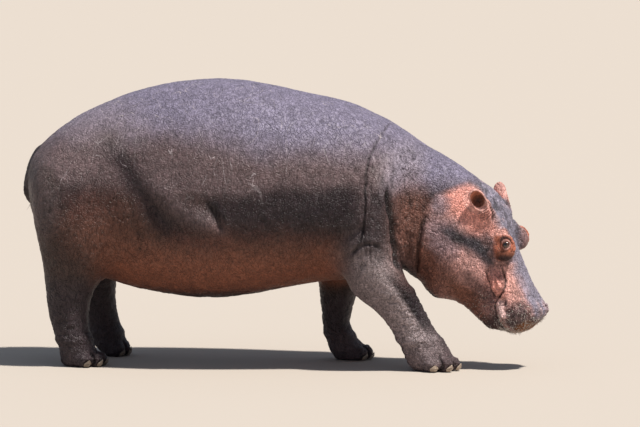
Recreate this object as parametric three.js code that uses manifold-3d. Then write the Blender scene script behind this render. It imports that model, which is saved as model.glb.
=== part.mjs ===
// A standing hippopotamus, head lowered and turned a little to its right, one forefoot set forward.
// Millimetres, +X along the body towards the head, +Y to the animal's left, +Z up, feet on z = 0.
import * as THREE from "three";
import { mergeVertices } from "three/addons/utils/BufferGeometryUtils.js";
import Module from "manifold-3d";

const wasm = await Module();
wasm.setup();

const GAP = 0.4; // clearance between neighbouring parts
const REACH = 4000; // larger than the animal

// Where the head sits, and how it is held.
const HEAD_AT = [1123, -72, 598]; // the middle of the brow, between the eyes
const HEAD_DOWN = 61; // degrees the face points below the horizon
const HEAD_TURN = 10; // degrees turned to the animal's right
const EYE = { at: [-2, 157, 58], radius: 26 };
const EYE_BUMP = { at: [2, 138, 36], size: [70, 47, 47] };
const NOSTRIL = { at: [362, 50, 24], size: [32, 9, 26] };
const NOSTRIL_RIM = { at: [345, 56, 2], size: [56, 42, 34] };
const EAR = {
  root: [-160, 140, 34],
  lean: [-0.88, 0.46, 0.08], // from the root to the tip
  opening: [0.35, 0.88, 0.3],
  stalk: { along: 34, size: [62, 30, 28] },
  cup: { along: 112, size: [58, 40, 27] },
  hollow: { along: 114, out: 20, size: [47, 30, 27] },
};
const JAW_JOINT = [-330, -90];

const TOE = { size: [56, 41, 42], high: 32 };
const NAIL = { from: 24, lean: 34, proud: 2, clear: 3 };

// The body from rump to poll: x, sideways shift, underside, level of the greatest width,
// topline, half width, squareness of the section.
const BODY = [
  [-1292, 0, 880, 920, 960, 40, 2],
  [-1275, 0, 780, 900, 1014, 145, 2.1],
  [-1235, 0, 665, 880, 1078, 258, 2.2],
  [-1160, 0, 570, 860, 1150, 342, 2.2],
  [-1060, 0, 495, 840, 1226, 394, 2.2],
  [-930, 0, 430, 810, 1292, 418, 2.2],
  [-780, 0, 378, 790, 1352, 432, 2.2],
  [-600, 0, 342, 780, 1398, 468, 2.15],
  [-400, 0, 326, 775, 1427, 498, 2.15],
  [-230, 0, 332, 780, 1422, 505, 2.15],
  [-40, 0, 370, 790, 1394, 497, 2.15],
  [160, 0, 408, 800, 1351, 470, 2.15],
  [330, 0, 430, 800, 1316, 432, 2.15],
  [470, 0, 455, 790, 1250, 384, 2.15],
  [590, -8, 500, 770, 1182, 314, 2.2],
  [690, -20, 424, 740, 1118, 256, 2.2],
  [790, -32, 462, 720, 1062, 224, 2.2],
  [880, -44, 550, 725, 1010, 206, 2.2],
  [960, -54, 640, 745, 956, 180, 2.2],
  [1020, -62, 720, 785, 908, 140, 2.1],
  [1048, -66, 800, 825, 860, 55, 2],
];
// The skull with the upper jaw, then the lower jaw with its jowls, in the head's own frame:
// forward from the brow, underside, level of the greatest width, top, half width, squareness.
const SKULL = [
  [-315, -30, 10, 55, 50, 2],
  [-290, -90, 0, 78, 105, 2.2],
  [-230, -160, -20, 94, 148, 2.3],
  [-160, -190, -40, 95, 172, 2.4],
  [-80, -200, -60, 80, 176, 2.4],
  [0, -195, -70, 60, 156, 2.4],
  [80, -180, -70, 44, 132, 2.4],
  [150, -168, -70, 34, 124, 2.4],
  [220, -172, -76, 28, 138, 2.5],
  [290, -184, -84, 26, 158, 2.6],
  [350, -188, -88, 22, 164, 2.6],
  [394, -182, -92, 0, 152, 2.5],
  [424, -162, -98, -38, 114, 2.3],
  [437, -124, -100, -76, 45, 2],
];
const JAW = [
  [-335, -210, -160, -110, 80, 2],
  [-305, -290, -165, -70, 160, 2.2],
  [-250, -345, -180, -40, 212, 2.3],
  [-180, -400, -205, -30, 240, 2.4],
  [-110, -440, -220, -30, 246, 2.4],
  [-30, -458, -230, -40, 238, 2.4],
  [45, -446, -225, -60, 214, 2.4],
  [98, -370, -210, -80, 178, 2.3],
  [150, -328, -200, -90, 150, 2.3],
  [220, -298, -190, -100, 138, 2.4],
  [290, -273, -190, -110, 134, 2.5],
  [345, -243, -185, -120, 126, 2.5],
  [384, -208, -175, -130, 94, 2.3],
  [402, -180, -165, -150, 40, 2],
];
// The line that parts the jaws, from the lips at the front to the corner of the mouth and back.
const MOUTH = [
  [470, -180],
  [290, -176],
  [235, -150],
  [185, -84],
  [90, -96],
  [-60, -60],
  [-200, -70],
  JAW_JOINT,
];

// Each limb from the ground up: z, rear edge, front edge, sideways centre, half width.
const LIMBS = {
  fore_right: {
    rows: [
      [-14, 690, 850, -235, 78],
      [25, 652, 884, -235, 104],
      [65, 636, 880, -236, 106],
      [101, 618, 864, -238, 100],
      [161, 590, 820, -242, 92],
      [219, 556, 783, -248, 90],
      [277, 506, 752, -256, 96],
      [336, 436, 724, -266, 108],
      [400, 352, 690, -280, 124],
      [495, 332, 632, -298, 138],
      [600, 345, 600, -310, 138],
      [720, 385, 595, -316, 132],
      [860, 405, 590, -308, 122],
      [990, 420, 585, -288, 100],
      [1080, 440, 565, -250, 62],
      [1112, 470, 530, -225, 24],
    ],
    cuts: [150, 400],
    foot: { x: 765, y: -235, turn: -24, ahead: 106, across: 80 },
  },
  fore_left: {
    rows: [
      [-14, 232, 385, 236, 76],
      [20, 206, 402, 236, 98],
      [48, 190, 394, 236, 102],
      [88, 178, 352, 237, 96],
      [124, 168, 318, 238, 88],
      [174, 155, 300, 240, 82],
      [224, 150, 304, 243, 84],
      [290, 143, 322, 250, 92],
      [360, 136, 342, 262, 106],
      [450, 132, 392, 285, 124],
      [560, 155, 450, 305, 134],
      [700, 225, 530, 316, 132],
      [850, 310, 565, 308, 122],
      [990, 390, 580, 288, 100],
      [1080, 440, 565, 250, 62],
      [1112, 470, 530, 225, 24],
    ],
    cuts: [130, 392],
    foot: { x: 300, y: 236, turn: 14, ahead: 68, across: 76 },
  },
  hind_right: {
    rows: [
      [-14, -1070, -908, -262, 80],
      [20, -1092, -892, -262, 102],
      [70, -1095, -905, -262, 104],
      [117, -1107, -922, -264, 99],
      [167, -1128, -940, -266, 96],
      [230, -1146, -946, -268, 96],
      [300, -1158, -942, -270, 102],
      [370, -1167, -924, -275, 112],
      [440, -1171, -882, -282, 126],
      [520, -1179, -830, -290, 143],
      [620, -1206, -786, -296, 156],
      [740, -1234, -758, -296, 158],
      [870, -1244, -752, -290, 152],
      [1000, -1222, -772, -266, 136],
      [1090, -1160, -830, -232, 98],
      [1130, -1090, -900, -190, 36],
    ],
    cuts: [135, 412],
    foot: { x: -990, y: -262, turn: -10, ahead: 86, across: 76 },
  },
  hind_left: {
    rows: [
      [-14, -945, -850, 256, 74],
      [10, -965, -830, 256, 92],
      [40, -1000, -826, 256, 99],
      [80, -1016, -846, 256, 97],
      [125, -1035, -864, 258, 93],
      [175, -1062, -880, 260, 92],
      [235, -1086, -894, 262, 95],
      [300, -1106, -901, 266, 102],
      [370, -1128, -898, 272, 112],
      [440, -1148, -876, 282, 126],
      [520, -1172, -830, 290, 143],
      [620, -1204, -786, 296, 156],
      [740, -1234, -758, 296, 158],
      [870, -1244, -752, 290, 152],
      [1000, -1222, -772, 266, 136],
      [1090, -1160, -830, 232, 98],
      [1130, -1090, -900, 190, 36],
    ],
    cuts: [120, 412],
    foot: { x: -925, y: 256, turn: 10, ahead: 58, across: 76 },
  },
};
const LIMB_INNER = 112; // how far from the middle the limbs are parted from the trunk
const UNDER_BELLY = 320;
const LEG_SPARE = 130;
const OUTLINE_STEPS = 16;
const TOE_SPREAD = [-66, -24, 24, 66]; // degrees from the middle of the foot

// The tail hangs against the rump: z, rear edge, front edge, sideways centre, half width.
const TAIL = [
  [768, -1306, -1294, 0, 6],
  [790, -1322, -1290, 0, 14],
  [835, -1337, -1286, 0, 18],
  [890, -1332, -1278, 0, 24],
  [950, -1314, -1262, 0, 32],
  [1010, -1292, -1236, 0, 40],
  [1062, -1262, -1190, 0, 36],
];

// The cut between trunk and neck: a plane leaning forward, through the fold behind the shoulder.
const NECK_CUT = { x: 455, z: 900, lean: 11 };

const HIDE = { color: 0x6a5a5c, roughness: 0.62, metalness: 0 };
const FLUSH = { color: 0x9a6a60, roughness: 0.6, metalness: 0 };
const EYE_LOOK = { color: 0x1c100c, roughness: 0.08, metalness: 0 };
const NAIL_LOOK = { color: 0xb9aa8e, roughness: 0.5, metalness: 0 };

const rad = THREE.MathUtils.degToRad;

// A closed three.js geometry as a manifold-3d solid.
function solid(geometry) {
  geometry.deleteAttribute("normal");
  geometry.deleteAttribute("uv");
  const merged = mergeVertices(geometry, 1e-3);
  const vertProperties = merged.attributes.position.array;
  const triVerts = new Uint32Array(merged.index.array);
  return new wasm.Manifold(new wasm.Mesh({ numProp: 3, vertProperties, triVerts }));
}

// A drum whose every point is moved by place(along, a, b): along 0..1, (a, b) in the unit disc.
function bentDrum(around, rings, place) {
  const drum = new THREE.CylinderGeometry(1, 1, 1, around, rings);
  const p = drum.attributes.position;
  for (let i = 0; i < p.count; i++) {
    p.setXYZ(i, ...place(p.getY(i) + 0.5, p.getX(i), -p.getZ(i)));
  }
  return drum;
}

// A smooth curve through rows of numbers, asked for at 0..1.
function through(rows) {
  const steps = rows.map((row, i) => i);
  const curve = new THREE.CubicInterpolant(steps, rows.flat(), rows[0].length);
  return (t) => Array.from(curve.evaluate(t * (rows.length - 1)));
}

const square = (v, n) => Math.sign(v) * Math.abs(v) ** (2 / n);

// Sections upright across a lengthwise axis.
function lengthwise(rows, around, rings, grow = 0) {
  const at = through(rows);
  return bentDrum(around, rings, (t, a, b) => {
    const [x, y, low, level, high, half, n] = at(t);
    const tall = b > 0 ? high - level : level - low;
    const along = x + (t - 0.5) * 2 * grow;
    return [along, y + (half + grow) * square(a, n), level + (tall + grow) * square(b, n)];
  });
}

// Sections level across an upright axis.
function upright(rows, around, rings, n, grow = 0) {
  const at = through(rows);
  return bentDrum(around, rings, (t, a, b) => {
    const [z, rear, front, y, half] = at(t);
    const x = (rear + front) / 2 + ((front - rear) / 2 + grow) * square(a, n);
    return [x, y + (half + grow) * square(b, n), z + (t - 0.5) * 2 * grow];
  });
}

function ball(at, size, grow = 0, around = 16, rings = 10) {
  const [a, b, c] = size.map((s) => s + grow);
  return new THREE.SphereGeometry(1, around, rings)
    .rotateX(Math.PI / 2)
    .scale(a, b, c)
    .translate(...at);
}

function block(low, high) {
  const size = high.map((h, i) => h - low[i]);
  return new THREE.BoxGeometry(...size).translate(...low.map((l, i) => l + size[i] / 2));
}

const between = (low, high) => solid(block([-REACH, -REACH, low], [REACH, REACH, high]));

const join = (solids) => solids.reduce((a, b) => a.add(b));

// The head's own frame in the body's: forward, left and up.
const headFrame = new THREE.Matrix4()
  .makeTranslation(...HEAD_AT)
  .multiply(new THREE.Matrix4().makeRotationZ(rad(-HEAD_TURN)))
  .multiply(new THREE.Matrix4().makeRotationY(rad(HEAD_DOWN)));

const onHead = (geometry) => solid(geometry.applyMatrix4(headFrame));

const sided = ([f, l, u], side) => [f, l * side, u];

function earFrame(side) {
  const along = new THREE.Vector3(...sided(EAR.lean, side)).normalize();
  const open = new THREE.Vector3(...sided(EAR.opening, side));
  open.addScaledVector(along, -open.dot(along)).normalize();
  const across = open.clone().cross(along);
  return new THREE.Matrix4()
    .makeBasis(along, across, open)
    .setPosition(...sided(EAR.root, side));
}

// A leaf-shaped cup on a short stalk, open outwards.
function ear(side, grow = 0) {
  const piece = ({ along, out = 0, size }, extra) =>
    onHead(ball([along, 0, out], size, extra, 10, 6).applyMatrix4(earFrame(side)));
  const cup = piece(EAR.cup, grow).add(piece(EAR.stalk, grow));
  return cup.subtract(piece(EAR.hollow, -grow));
}

const eye = (side, grow = 0) =>
  onHead(ball(sided(EYE.at, side), [EYE.radius, EYE.radius, EYE.radius], grow, 10, 6));

const alongHead = (rows, around, rings, grow) =>
  onHead(lengthwise(rows.map(([f, ...rest]) => [f, 0, ...rest]), around, rings, grow));

// The whole head with its jaw, brows and nostrils, before it is parted.
function wholeHead(grow = 0) {
  const bumps = [-1, 1].flatMap((side) => [
    onHead(ball(sided(EYE_BUMP.at, side), EYE_BUMP.size, grow, 9, 6)),
    onHead(ball(sided(NOSTRIL_RIM.at, side), NOSTRIL_RIM.size, grow, 8, 4)),
  ]);
  const jaws = [alongHead(SKULL, 18, 16, grow), alongHead(JAW, 18, 15, grow)];
  return join([...jaws, ...bumps]);
}

// Everything below the line of the mouth, as a plate across the head.
function belowMouth(drop) {
  const shape = new THREE.Shape();
  shape.moveTo(MOUTH[0][0], MOUTH[0][1] - drop);
  MOUTH.slice(1).forEach(([f, u]) => shape.lineTo(f, u - drop));
  shape.lineTo(-REACH, JAW_JOINT[1] - 200 - drop);
  shape.lineTo(-REACH, -REACH);
  shape.lineTo(MOUTH[0][0], -REACH);
  const plate = new THREE.ExtrudeGeometry(shape, { depth: 2 * REACH, bevelEnabled: false });
  return onHead(plate.translate(0, 0, -REACH).rotateX(Math.PI / 2));
}

// Where each toe of a foot stands.
function toePlaces({ x, y, turn, ahead, across }) {
  return TOE_SPREAD.map((spread) => {
    const f = ahead * Math.cos(rad(spread));
    const s = across * Math.sin(rad(spread)) * 1.05;
    const c = Math.cos(rad(turn));
    const d = Math.sin(rad(turn));
    return { x: x + f * c - s * d, y: y + f * d + s * c, heading: rad(turn + spread * 0.45) };
  });
}

const turned = (geometry, { x, y, heading }) =>
  solid(geometry.rotateZ(heading).translate(x, y, 0));

const toe = (place, grow = 0) =>
  turned(ball([0, 0, TOE.high], TOE.size, grow, 8, 5), place);

// The front of a toe below a slanting plane, standing a little proud of it.
function nail(place, grow = 0) {
  const infront = block([-grow, -REACH, -REACH], [REACH, REACH, REACH])
    .rotateY(rad(NAIL.lean))
    .translate(NAIL.from, 0, 0);
  return toe(place, NAIL.proud + grow)
    .intersect(turned(infront, place))
    .intersect(between(NAIL.clear - grow, REACH));
}

function limb({ rows, foot }, grow = 0) {
  const leg = solid(upright(rows, 12, 14, 2.15, grow));
  const toes = toePlaces(foot).map((place) => toe(place, grow));
  return join([leg, ...toes]).intersect(between(0, REACH));
}

// The limb's outline from the side as a block across one half of the animal: it parts the
// limb from the body. Under the belly it is wide enough to take in the whole leg.
function limbRoom({ rows }, grow = 0) {
  const at = through(rows);
  const steps = Array.from({ length: OUTLINE_STEPS + 1 }, (_, i) => at(i / OUTLINE_STEPS));
  const spare = (z) => (z < UNDER_BELLY ? LEG_SPARE : 8) + grow;
  const rear = steps.map(([z, r]) => [r - spare(z), z]);
  const front = steps.map(([z, , f]) => [f + spare(z), z]);
  const outline = [...rear, ...front.reverse()].map(([x, z]) => new THREE.Vector2(x, z));
  const depth = REACH + grow;
  const plate = new THREE.ExtrudeGeometry(new THREE.Shape(outline), {
    depth,
    bevelEnabled: false,
  });
  const side = Math.sign(rows[0][3]);
  const start = side > 0 ? LIMB_INNER - grow + depth : -LIMB_INNER + grow;
  return solid(plate.rotateX(Math.PI / 2).translate(0, start, 0));
}

const group = new THREE.Group();

function part(name, piece, look) {
  const { numProp, vertProperties, triVerts } = piece.getMesh();
  const geometry = new THREE.BufferGeometry();
  geometry.setAttribute("position", new THREE.BufferAttribute(vertProperties, numProp));
  geometry.setIndex(new THREE.BufferAttribute(triVerts, 1));
  geometry.computeVertexNormals();
  const mesh = new THREE.Mesh(geometry, new THREE.MeshStandardMaterial(look));
  mesh.name = name;
  group.add(mesh);
}

const limbNames = Object.keys(LIMBS);
const limbs = Object.fromEntries(limbNames.map((name) => [name, limb(LIMBS[name])]));
const limbRooms = join(limbNames.map((name) => limbRoom(LIMBS[name], GAP)));
const tail = solid(upright(TAIL, 10, 8, 2));
const tailRoom = solid(upright(TAIL, 10, 8, 2, GAP));

// Trunk and neck: one smooth body joined to the limbs, then parted from them.
const body = solid(lengthwise(BODY, 26, 30));
const torso = join([body, ...Object.values(limbs)]).subtract(limbRooms).subtract(tailRoom);
const ahead = (shift) =>
  solid(
    block([shift, -REACH, -REACH], [REACH, REACH, REACH])
      .rotateY(rad(NECK_CUT.lean))
      .translate(NECK_CUT.x, 0, NECK_CUT.z),
  );
part("trunk", torso.subtract(ahead(0)), HIDE);
const sides = { right: -1, left: 1 };
const earRooms = Object.values(sides).map((side) => ear(side, GAP));
const headRoom = join([wholeHead(GAP), ...earRooms]);
part("neck", torso.intersect(ahead(GAP)).subtract(headRoom), HIDE);
part("tail", tail, HIDE);

const eyeRooms = Object.values(sides).map((side) => eye(side, GAP));
const nostrils = Object.values(sides).map((side) =>
  onHead(ball(sided(NOSTRIL.at, side), NOSTRIL.size, 0, 7, 4)),
);
const face = wholeHead().subtract(join([...earRooms, ...eyeRooms, ...nostrils]));
part("head", face.subtract(belowMouth(0)), HIDE);
part("lower_jaw", face.intersect(belowMouth(GAP)), FLUSH);
for (const [name, side] of Object.entries(sides)) {
  part(`ear_${name}`, ear(side), FLUSH);
  part(`eye_${name}`, eye(side), EYE_LOOK);
}

const segments = { fore: ["foot", "forearm", "upper_arm"], hind: ["foot", "shank", "thigh"] };
for (const name of limbNames) {
  const { foot, cuts } = LIMBS[name];
  const places = toePlaces(foot);
  const nailRoom = join(places.map((place) => nail(place, GAP)));
  const whole = limbs[name].add(body).intersect(limbRoom(LIMBS[name])).subtract(nailRoom);
  const [end, sideName] = name.split("_");
  const levels = [-REACH, ...cuts, REACH];
  segments[end].forEach((segment, i) => {
    const piece = whole.intersect(between(levels[i], levels[i + 1] - GAP));
    part(`${end}_${segment}_${sideName}`, piece, HIDE);
  });
  places.forEach((place, i) => part(`nail_${name}_${i + 1}`, nail(place), NAIL_LOOK));
}

// The frame's origin: the middle of the floor under the animal.
const bounds = new THREE.Box3().setFromObject(group);
const middle = bounds.getCenter(new THREE.Vector3());
for (const mesh of group.children) {
  mesh.geometry.translate(-middle.x, -middle.y, -bounds.min.z);
}

export default group;
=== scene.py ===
"""The looks of a life-size hippopotamus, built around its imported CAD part.

Metres, with +X towards the head, +Y to its left and +Z up.
"""

import itertools
import math

import bpy
import numpy as np
import openvdb
from mathutils import Matrix, Vector


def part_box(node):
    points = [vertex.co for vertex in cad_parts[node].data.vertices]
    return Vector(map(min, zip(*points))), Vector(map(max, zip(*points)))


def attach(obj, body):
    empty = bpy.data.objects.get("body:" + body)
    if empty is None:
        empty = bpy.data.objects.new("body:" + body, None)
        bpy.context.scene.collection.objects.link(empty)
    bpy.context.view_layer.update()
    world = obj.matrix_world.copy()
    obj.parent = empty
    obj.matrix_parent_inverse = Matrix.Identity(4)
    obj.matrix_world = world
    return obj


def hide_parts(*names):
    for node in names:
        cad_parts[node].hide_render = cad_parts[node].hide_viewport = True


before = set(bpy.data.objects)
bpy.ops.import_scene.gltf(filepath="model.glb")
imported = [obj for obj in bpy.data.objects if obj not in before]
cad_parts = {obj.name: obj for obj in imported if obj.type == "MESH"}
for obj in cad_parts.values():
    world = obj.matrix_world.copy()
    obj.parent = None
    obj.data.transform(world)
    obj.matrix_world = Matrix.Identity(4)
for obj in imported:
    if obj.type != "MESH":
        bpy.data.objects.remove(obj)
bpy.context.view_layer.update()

# --- The camera, as the animal is seen ---
VIEW_TURN = math.radians(8)  # from square to the animal's right side, towards its face
VIEW_RISE = math.radians(5)
VIEW_DISTANCE = 40.0
VIEW_WIDTH = 3.2  # what the picture spans at the animal
VIEW_MIDDLE = (0.174, 0.7475)  # across and up from the origin, as the camera sees it

# --- Light ---
SKY = (0.72, 0.82, 1.0, 1)
SKY_POWER = 0.32
SUN_FROM = (0.42, -0.18, 1.0)  # high, and a little ahead of the animal and to its right
SUN = (1.0, 0.95, 0.88)
SUN_POWER = 5.6
SUN_SPREAD = math.radians(4)
FLOOR = (0.46, 0.41, 0.36, 1)

# --- Driving dimensions of the skin ---
VOXEL = 0.0072
MARGIN = 0.06  # of empty voxels round the animal
RAMP = 3  # voxels over which the solid fades out on each side of its surface
BODY_BLUR = 0.046  # each blur takes away the facets of the CAD at that place
LIMB_BLUR = 0.017
FINE_BLUR = 0.0075
SOLE_SNAP = 0.0018  # what is lower than this lies flat on the floor
NAIL_VOXEL = 0.0016
NAIL_MARGIN = 0.008
NAIL_BLUR = 1.3  # voxels

HEAD_FROM = 0.85  # along the animal: the eyes, ears and mouth are ahead of this
HEAD_DOWN = math.radians(61)
EYE_FROM_BROW = (-0.002, 0.058)  # forward and up, in the head's own frame
EYE_RADIUS = 0.026
EYE_LOOK = (-0.21, 0.978, -0.016)  # the way the lids open: forward, outward and up
EYE_ACROSS = (0.46, -0.31, 0.83)
LID_OPEN = (math.radians(52), math.radians(46))  # half of the opening, across and down
LID_REACH = 0.11  # how far from the eye's middle the lids' folds go
FAR_EYE_LIFT = np.array([-0.018, -0.003, 0.020])  # the far eye bump stands back and up, as pictured
EAR_LEAN = (-0.88, 0.46, 0.08)
EAR_OPENING = (0.35, 0.88, 0.3)
EAR_ROOT = (-0.160, 0.140, 0.034)
EAR_ALONG = 0.126  # from the ear's root to the middle of its cup
EAR_SIZE = (0.064, 0.043, 0.027)  # half the cup's length, width and thickness
EAR_STALK = {"middle": (-0.198, 0.143, 0.060), "size": (0.066, 0.027, 0.030)}
BROW_RIDGE = {"middle": (-0.062, 0.100, 0.052), "size": (0.060, 0.040, 0.036)}  # behind the eye
EYE_BAGS = {  # the bump round each eye: its middle and half size, along its look, across and down
    "right": ((-0.012, -0.016, 0.009), (0.043, 0.054, 0.070)),
    "left": ((-0.014, -0.012, -0.006), (0.037, 0.044, 0.050)),
}

FLESH = sorted(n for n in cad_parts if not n.startswith(("nail_", "eye_")))
NAILS = sorted(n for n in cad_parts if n.startswith("nail_"))
SIDES = {"right": -1, "left": 1}
FEET = [f"{pair}_foot_{side}" for pair in ("fore", "hind") for side in SIDES]

# --- Colours of the hide, linear ---
# SLATE, the back's grey, is tinted blue for a painted reflection of the sky.
SLATE = (0.202, 0.178, 0.256)
MAUVE = (0.130, 0.086, 0.090)
BROWN = (0.044, 0.022, 0.018)
UMBER = (0.020, 0.009, 0.012)
NIGHT = (0.014, 0.007, 0.011)
RUST = (0.238, 0.080, 0.044)
TAN = (0.172, 0.060, 0.034)
CLAY = (0.170, 0.070, 0.050)
BLUSH = (0.570, 0.300, 0.270)
ROSE = (0.820, 0.345, 0.280)
SALMON = (0.700, 0.360, 0.310)
STEEL = (0.240, 0.225, 0.295)
GLOOM = (0.055, 0.046, 0.058)
DUSK = (0.030, 0.023, 0.035)
EMBER = (0.430, 0.132, 0.074)
PALE = (0.880, 0.590, 0.560)
OCHRE = (0.240, 0.080, 0.016)
# A pale grey for painted highlights on the foreleg's ridge and the neck.
PAINTED_HIGHLIGHT = (0.440, 0.355, 0.365)
ASH = (0.285, 0.222, 0.232)
EAR_RED = (0.170, 0.048, 0.024)
SCRATCH = (0.46, 0.40, 0.42)
BRISTLE = (0.74, 0.66, 0.60)
DARK_BRISTLE = (0.10, 0.07, 0.06)
EYE_WHITE = (0.36, 0.24, 0.22)
IRIS = (0.045, 0.016, 0.009)
IRIS_LIGHT = (0.160, 0.060, 0.028)
PUPIL = (0.003, 0.003, 0.003)


TINY = 1e-9  # keeps divisions away from zero


def unit(v):
    v = np.asarray(v, float)
    return v / np.linalg.norm(v)


def smooth(low, high, v):
    """0 up to low, 1 from high on, and a smooth ramp between; low may be the larger."""
    t = np.clip((v - low) / (high - low), 0, 1)
    return t * t * (3 - 2 * t)


def bell(v, width):
    return np.exp(-((v / width) ** 2))


def distance(points, place):
    return np.linalg.norm(points - place, axis=1)


def middle_of(node):
    low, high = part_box(node)
    return (np.array(low) + np.array(high)) / 2


# --- The head's own frame: forward, left and up from the middle of the brow ---
eye_middles = {side: middle_of(f"eye_{side}") for side in SIDES}
head_left = unit(eye_middles["left"] - eye_middles["right"])
level_ahead = np.array([head_left[1], -head_left[0], 0])
head_forward = level_ahead * math.cos(HEAD_DOWN) - np.array([0, 0, math.sin(HEAD_DOWN)])
head_up = np.cross(head_forward, head_left)
HEAD_AXES = np.array([head_forward, head_left, head_up])
between_eyes = (eye_middles["left"] + eye_middles["right"]) / 2
brow = between_eyes - head_forward * EYE_FROM_BROW[0] - head_up * EYE_FROM_BROW[1]


def on_head(place, side):
    """A place given forward, outward and up in the head's own frame, on one of its sides."""
    return brow + to_side(place, side) @ HEAD_AXES


def in_head(points):
    """Points in the head's own frame: forward, left and up."""
    return (points - brow) @ HEAD_AXES.T


def one_sided(local):
    """Points with the right side laid over the left, so that both sides are alike."""
    return np.stack([local[:, 0], np.abs(local[:, 1]), local[:, 2]], 1)


def to_side(local, side):
    return np.asarray(local, float) * (1, SIDES[side], 1)


def ear_frame(side):
    """The middle of the ear's cup, and its axes: out of the opening, across and towards the tip."""
    lean = unit(to_side(EAR_LEAN, side) @ HEAD_AXES)
    opening = to_side(EAR_OPENING, side) @ HEAD_AXES
    opening = unit(opening - lean * (opening @ lean))
    middle = on_head(EAR_ROOT, side) + lean * EAR_ALONG
    return middle, np.array([opening, np.cross(lean, opening), lean])


def in_ear(points, side):
    """Points in the ear's own frame: out, across and along, and how far out from 0 to its rim at 1."""
    middle, axes = ear_frame(side)
    out, across, along = axes @ (points - middle).T
    length, width, _ = EAR_SIZE
    return out, across, along, np.hypot(across / width, along / length)


def eye_axes(side):
    """The eye's own axes: the way it looks, across its opening, and down."""
    look = unit(to_side(EYE_LOOK, side) @ HEAD_AXES)
    across = to_side(EYE_ACROSS, side) @ HEAD_AXES
    across = unit(across - look * (across @ look))
    return np.array([look, across, np.cross(look, across) * SIDES[side]])


# --- Noise ---
NOISE_TABLE = np.random.default_rng(7).uniform(-1, 1, 8192)
HASH = (73856093, 19349663, 83492791)
SEED_STEP = 17.31


def noise(p, size, seed=0):
    """Smooth noise of about -1 to 1 with lumps of that size, one length or one for each axis."""
    q = p / np.asarray(size, float) + seed * SEED_STEP
    cell = np.floor(q).astype(np.int64)
    t = q - cell
    t = t * t * t * (t * (6 * t - 15) + 10)
    total = np.zeros(len(p))
    for corner in itertools.product((0, 1), repeat=3):
        x, y, z = ((cell + np.array(corner)) * HASH).T
        weight = np.prod(np.where(np.array(corner) == 1, t, 1 - t), axis=1)
        total += weight * NOISE_TABLE[(x ^ y ^ z) & (len(NOISE_TABLE) - 1)]
    return total


def drift(p, size, seeds):
    """Noise that moves places about, with a seed for each direction."""
    return np.stack([noise(p, size, seed) for seed in seeds], 1)


def cracks(p, size, seed):
    """Narrow winding lines, 1 on a line and 0 away from it."""
    return bell(noise(p, size, seed), 0.16)


# --- The solid under the skin, as a grid of how full each voxel is ---
def mesh_arrays(node):
    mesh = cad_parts[node].data
    mesh.calc_loop_triangles()
    points = np.empty(len(mesh.vertices) * 3, np.float32)
    mesh.vertices.foreach_get("co", points)
    triangles = np.empty(len(mesh.loop_triangles) * 3, np.int32)
    mesh.loop_triangles.foreach_get("vertices", triangles)
    return points.reshape(-1, 3), triangles.reshape(-1, 3)


def blurred(full, sigma):
    """A Gaussian blur along each axis, with sigma in voxels."""
    reach = int(3 * sigma + 0.5)
    taps = np.exp(-0.5 * (np.arange(reach + 1) / sigma) ** 2)
    taps /= taps[0] + 2 * taps[1:].sum()
    for axis in range(3):
        full = np.moveaxis(full, axis, 0)
        out = full * np.float32(taps[0])
        for step in range(1, reach + 1):
            tap = np.float32(taps[step])
            out[step:] += full[:-step] * tap
            out[:-step] += full[step:] * tap
        full = np.moveaxis(out, 0, axis)
    return full


def unshrunk(full, sigma):
    """Blurs, and gives back what the blur takes off rounded shapes."""
    once = blurred(full, sigma)
    return 2 * once - blurred(once, sigma)


def halved(full):
    full = full[: full.shape[0] // 2 * 2, : full.shape[1] // 2 * 2, : full.shape[2] // 2 * 2]
    a, b, c = (n // 2 for n in full.shape)
    return full.reshape(a, 2, b, 2, c, 2).mean((1, 3, 5))


def doubled(half, shape):
    """The grid at twice as many voxels, with the values between filled in."""
    for axis in range(3):
        half = np.moveaxis(half, axis, 0)
        before = np.concatenate([half[:1], half[:-1]])
        after = np.concatenate([half[1:], half[-1:]])
        out = np.empty((len(half) * 2, *half.shape[1:]), np.float32)
        out[0::2] = 0.75 * half + 0.25 * before
        out[1::2] = 0.75 * half + 0.25 * after
        half = np.moveaxis(out, 0, axis)
    pads = [(0, max(0, n - m)) for n, m in zip(shape, half.shape, strict=True)]
    return np.pad(half, pads)[: shape[0], : shape[1], : shape[2]]


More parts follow.
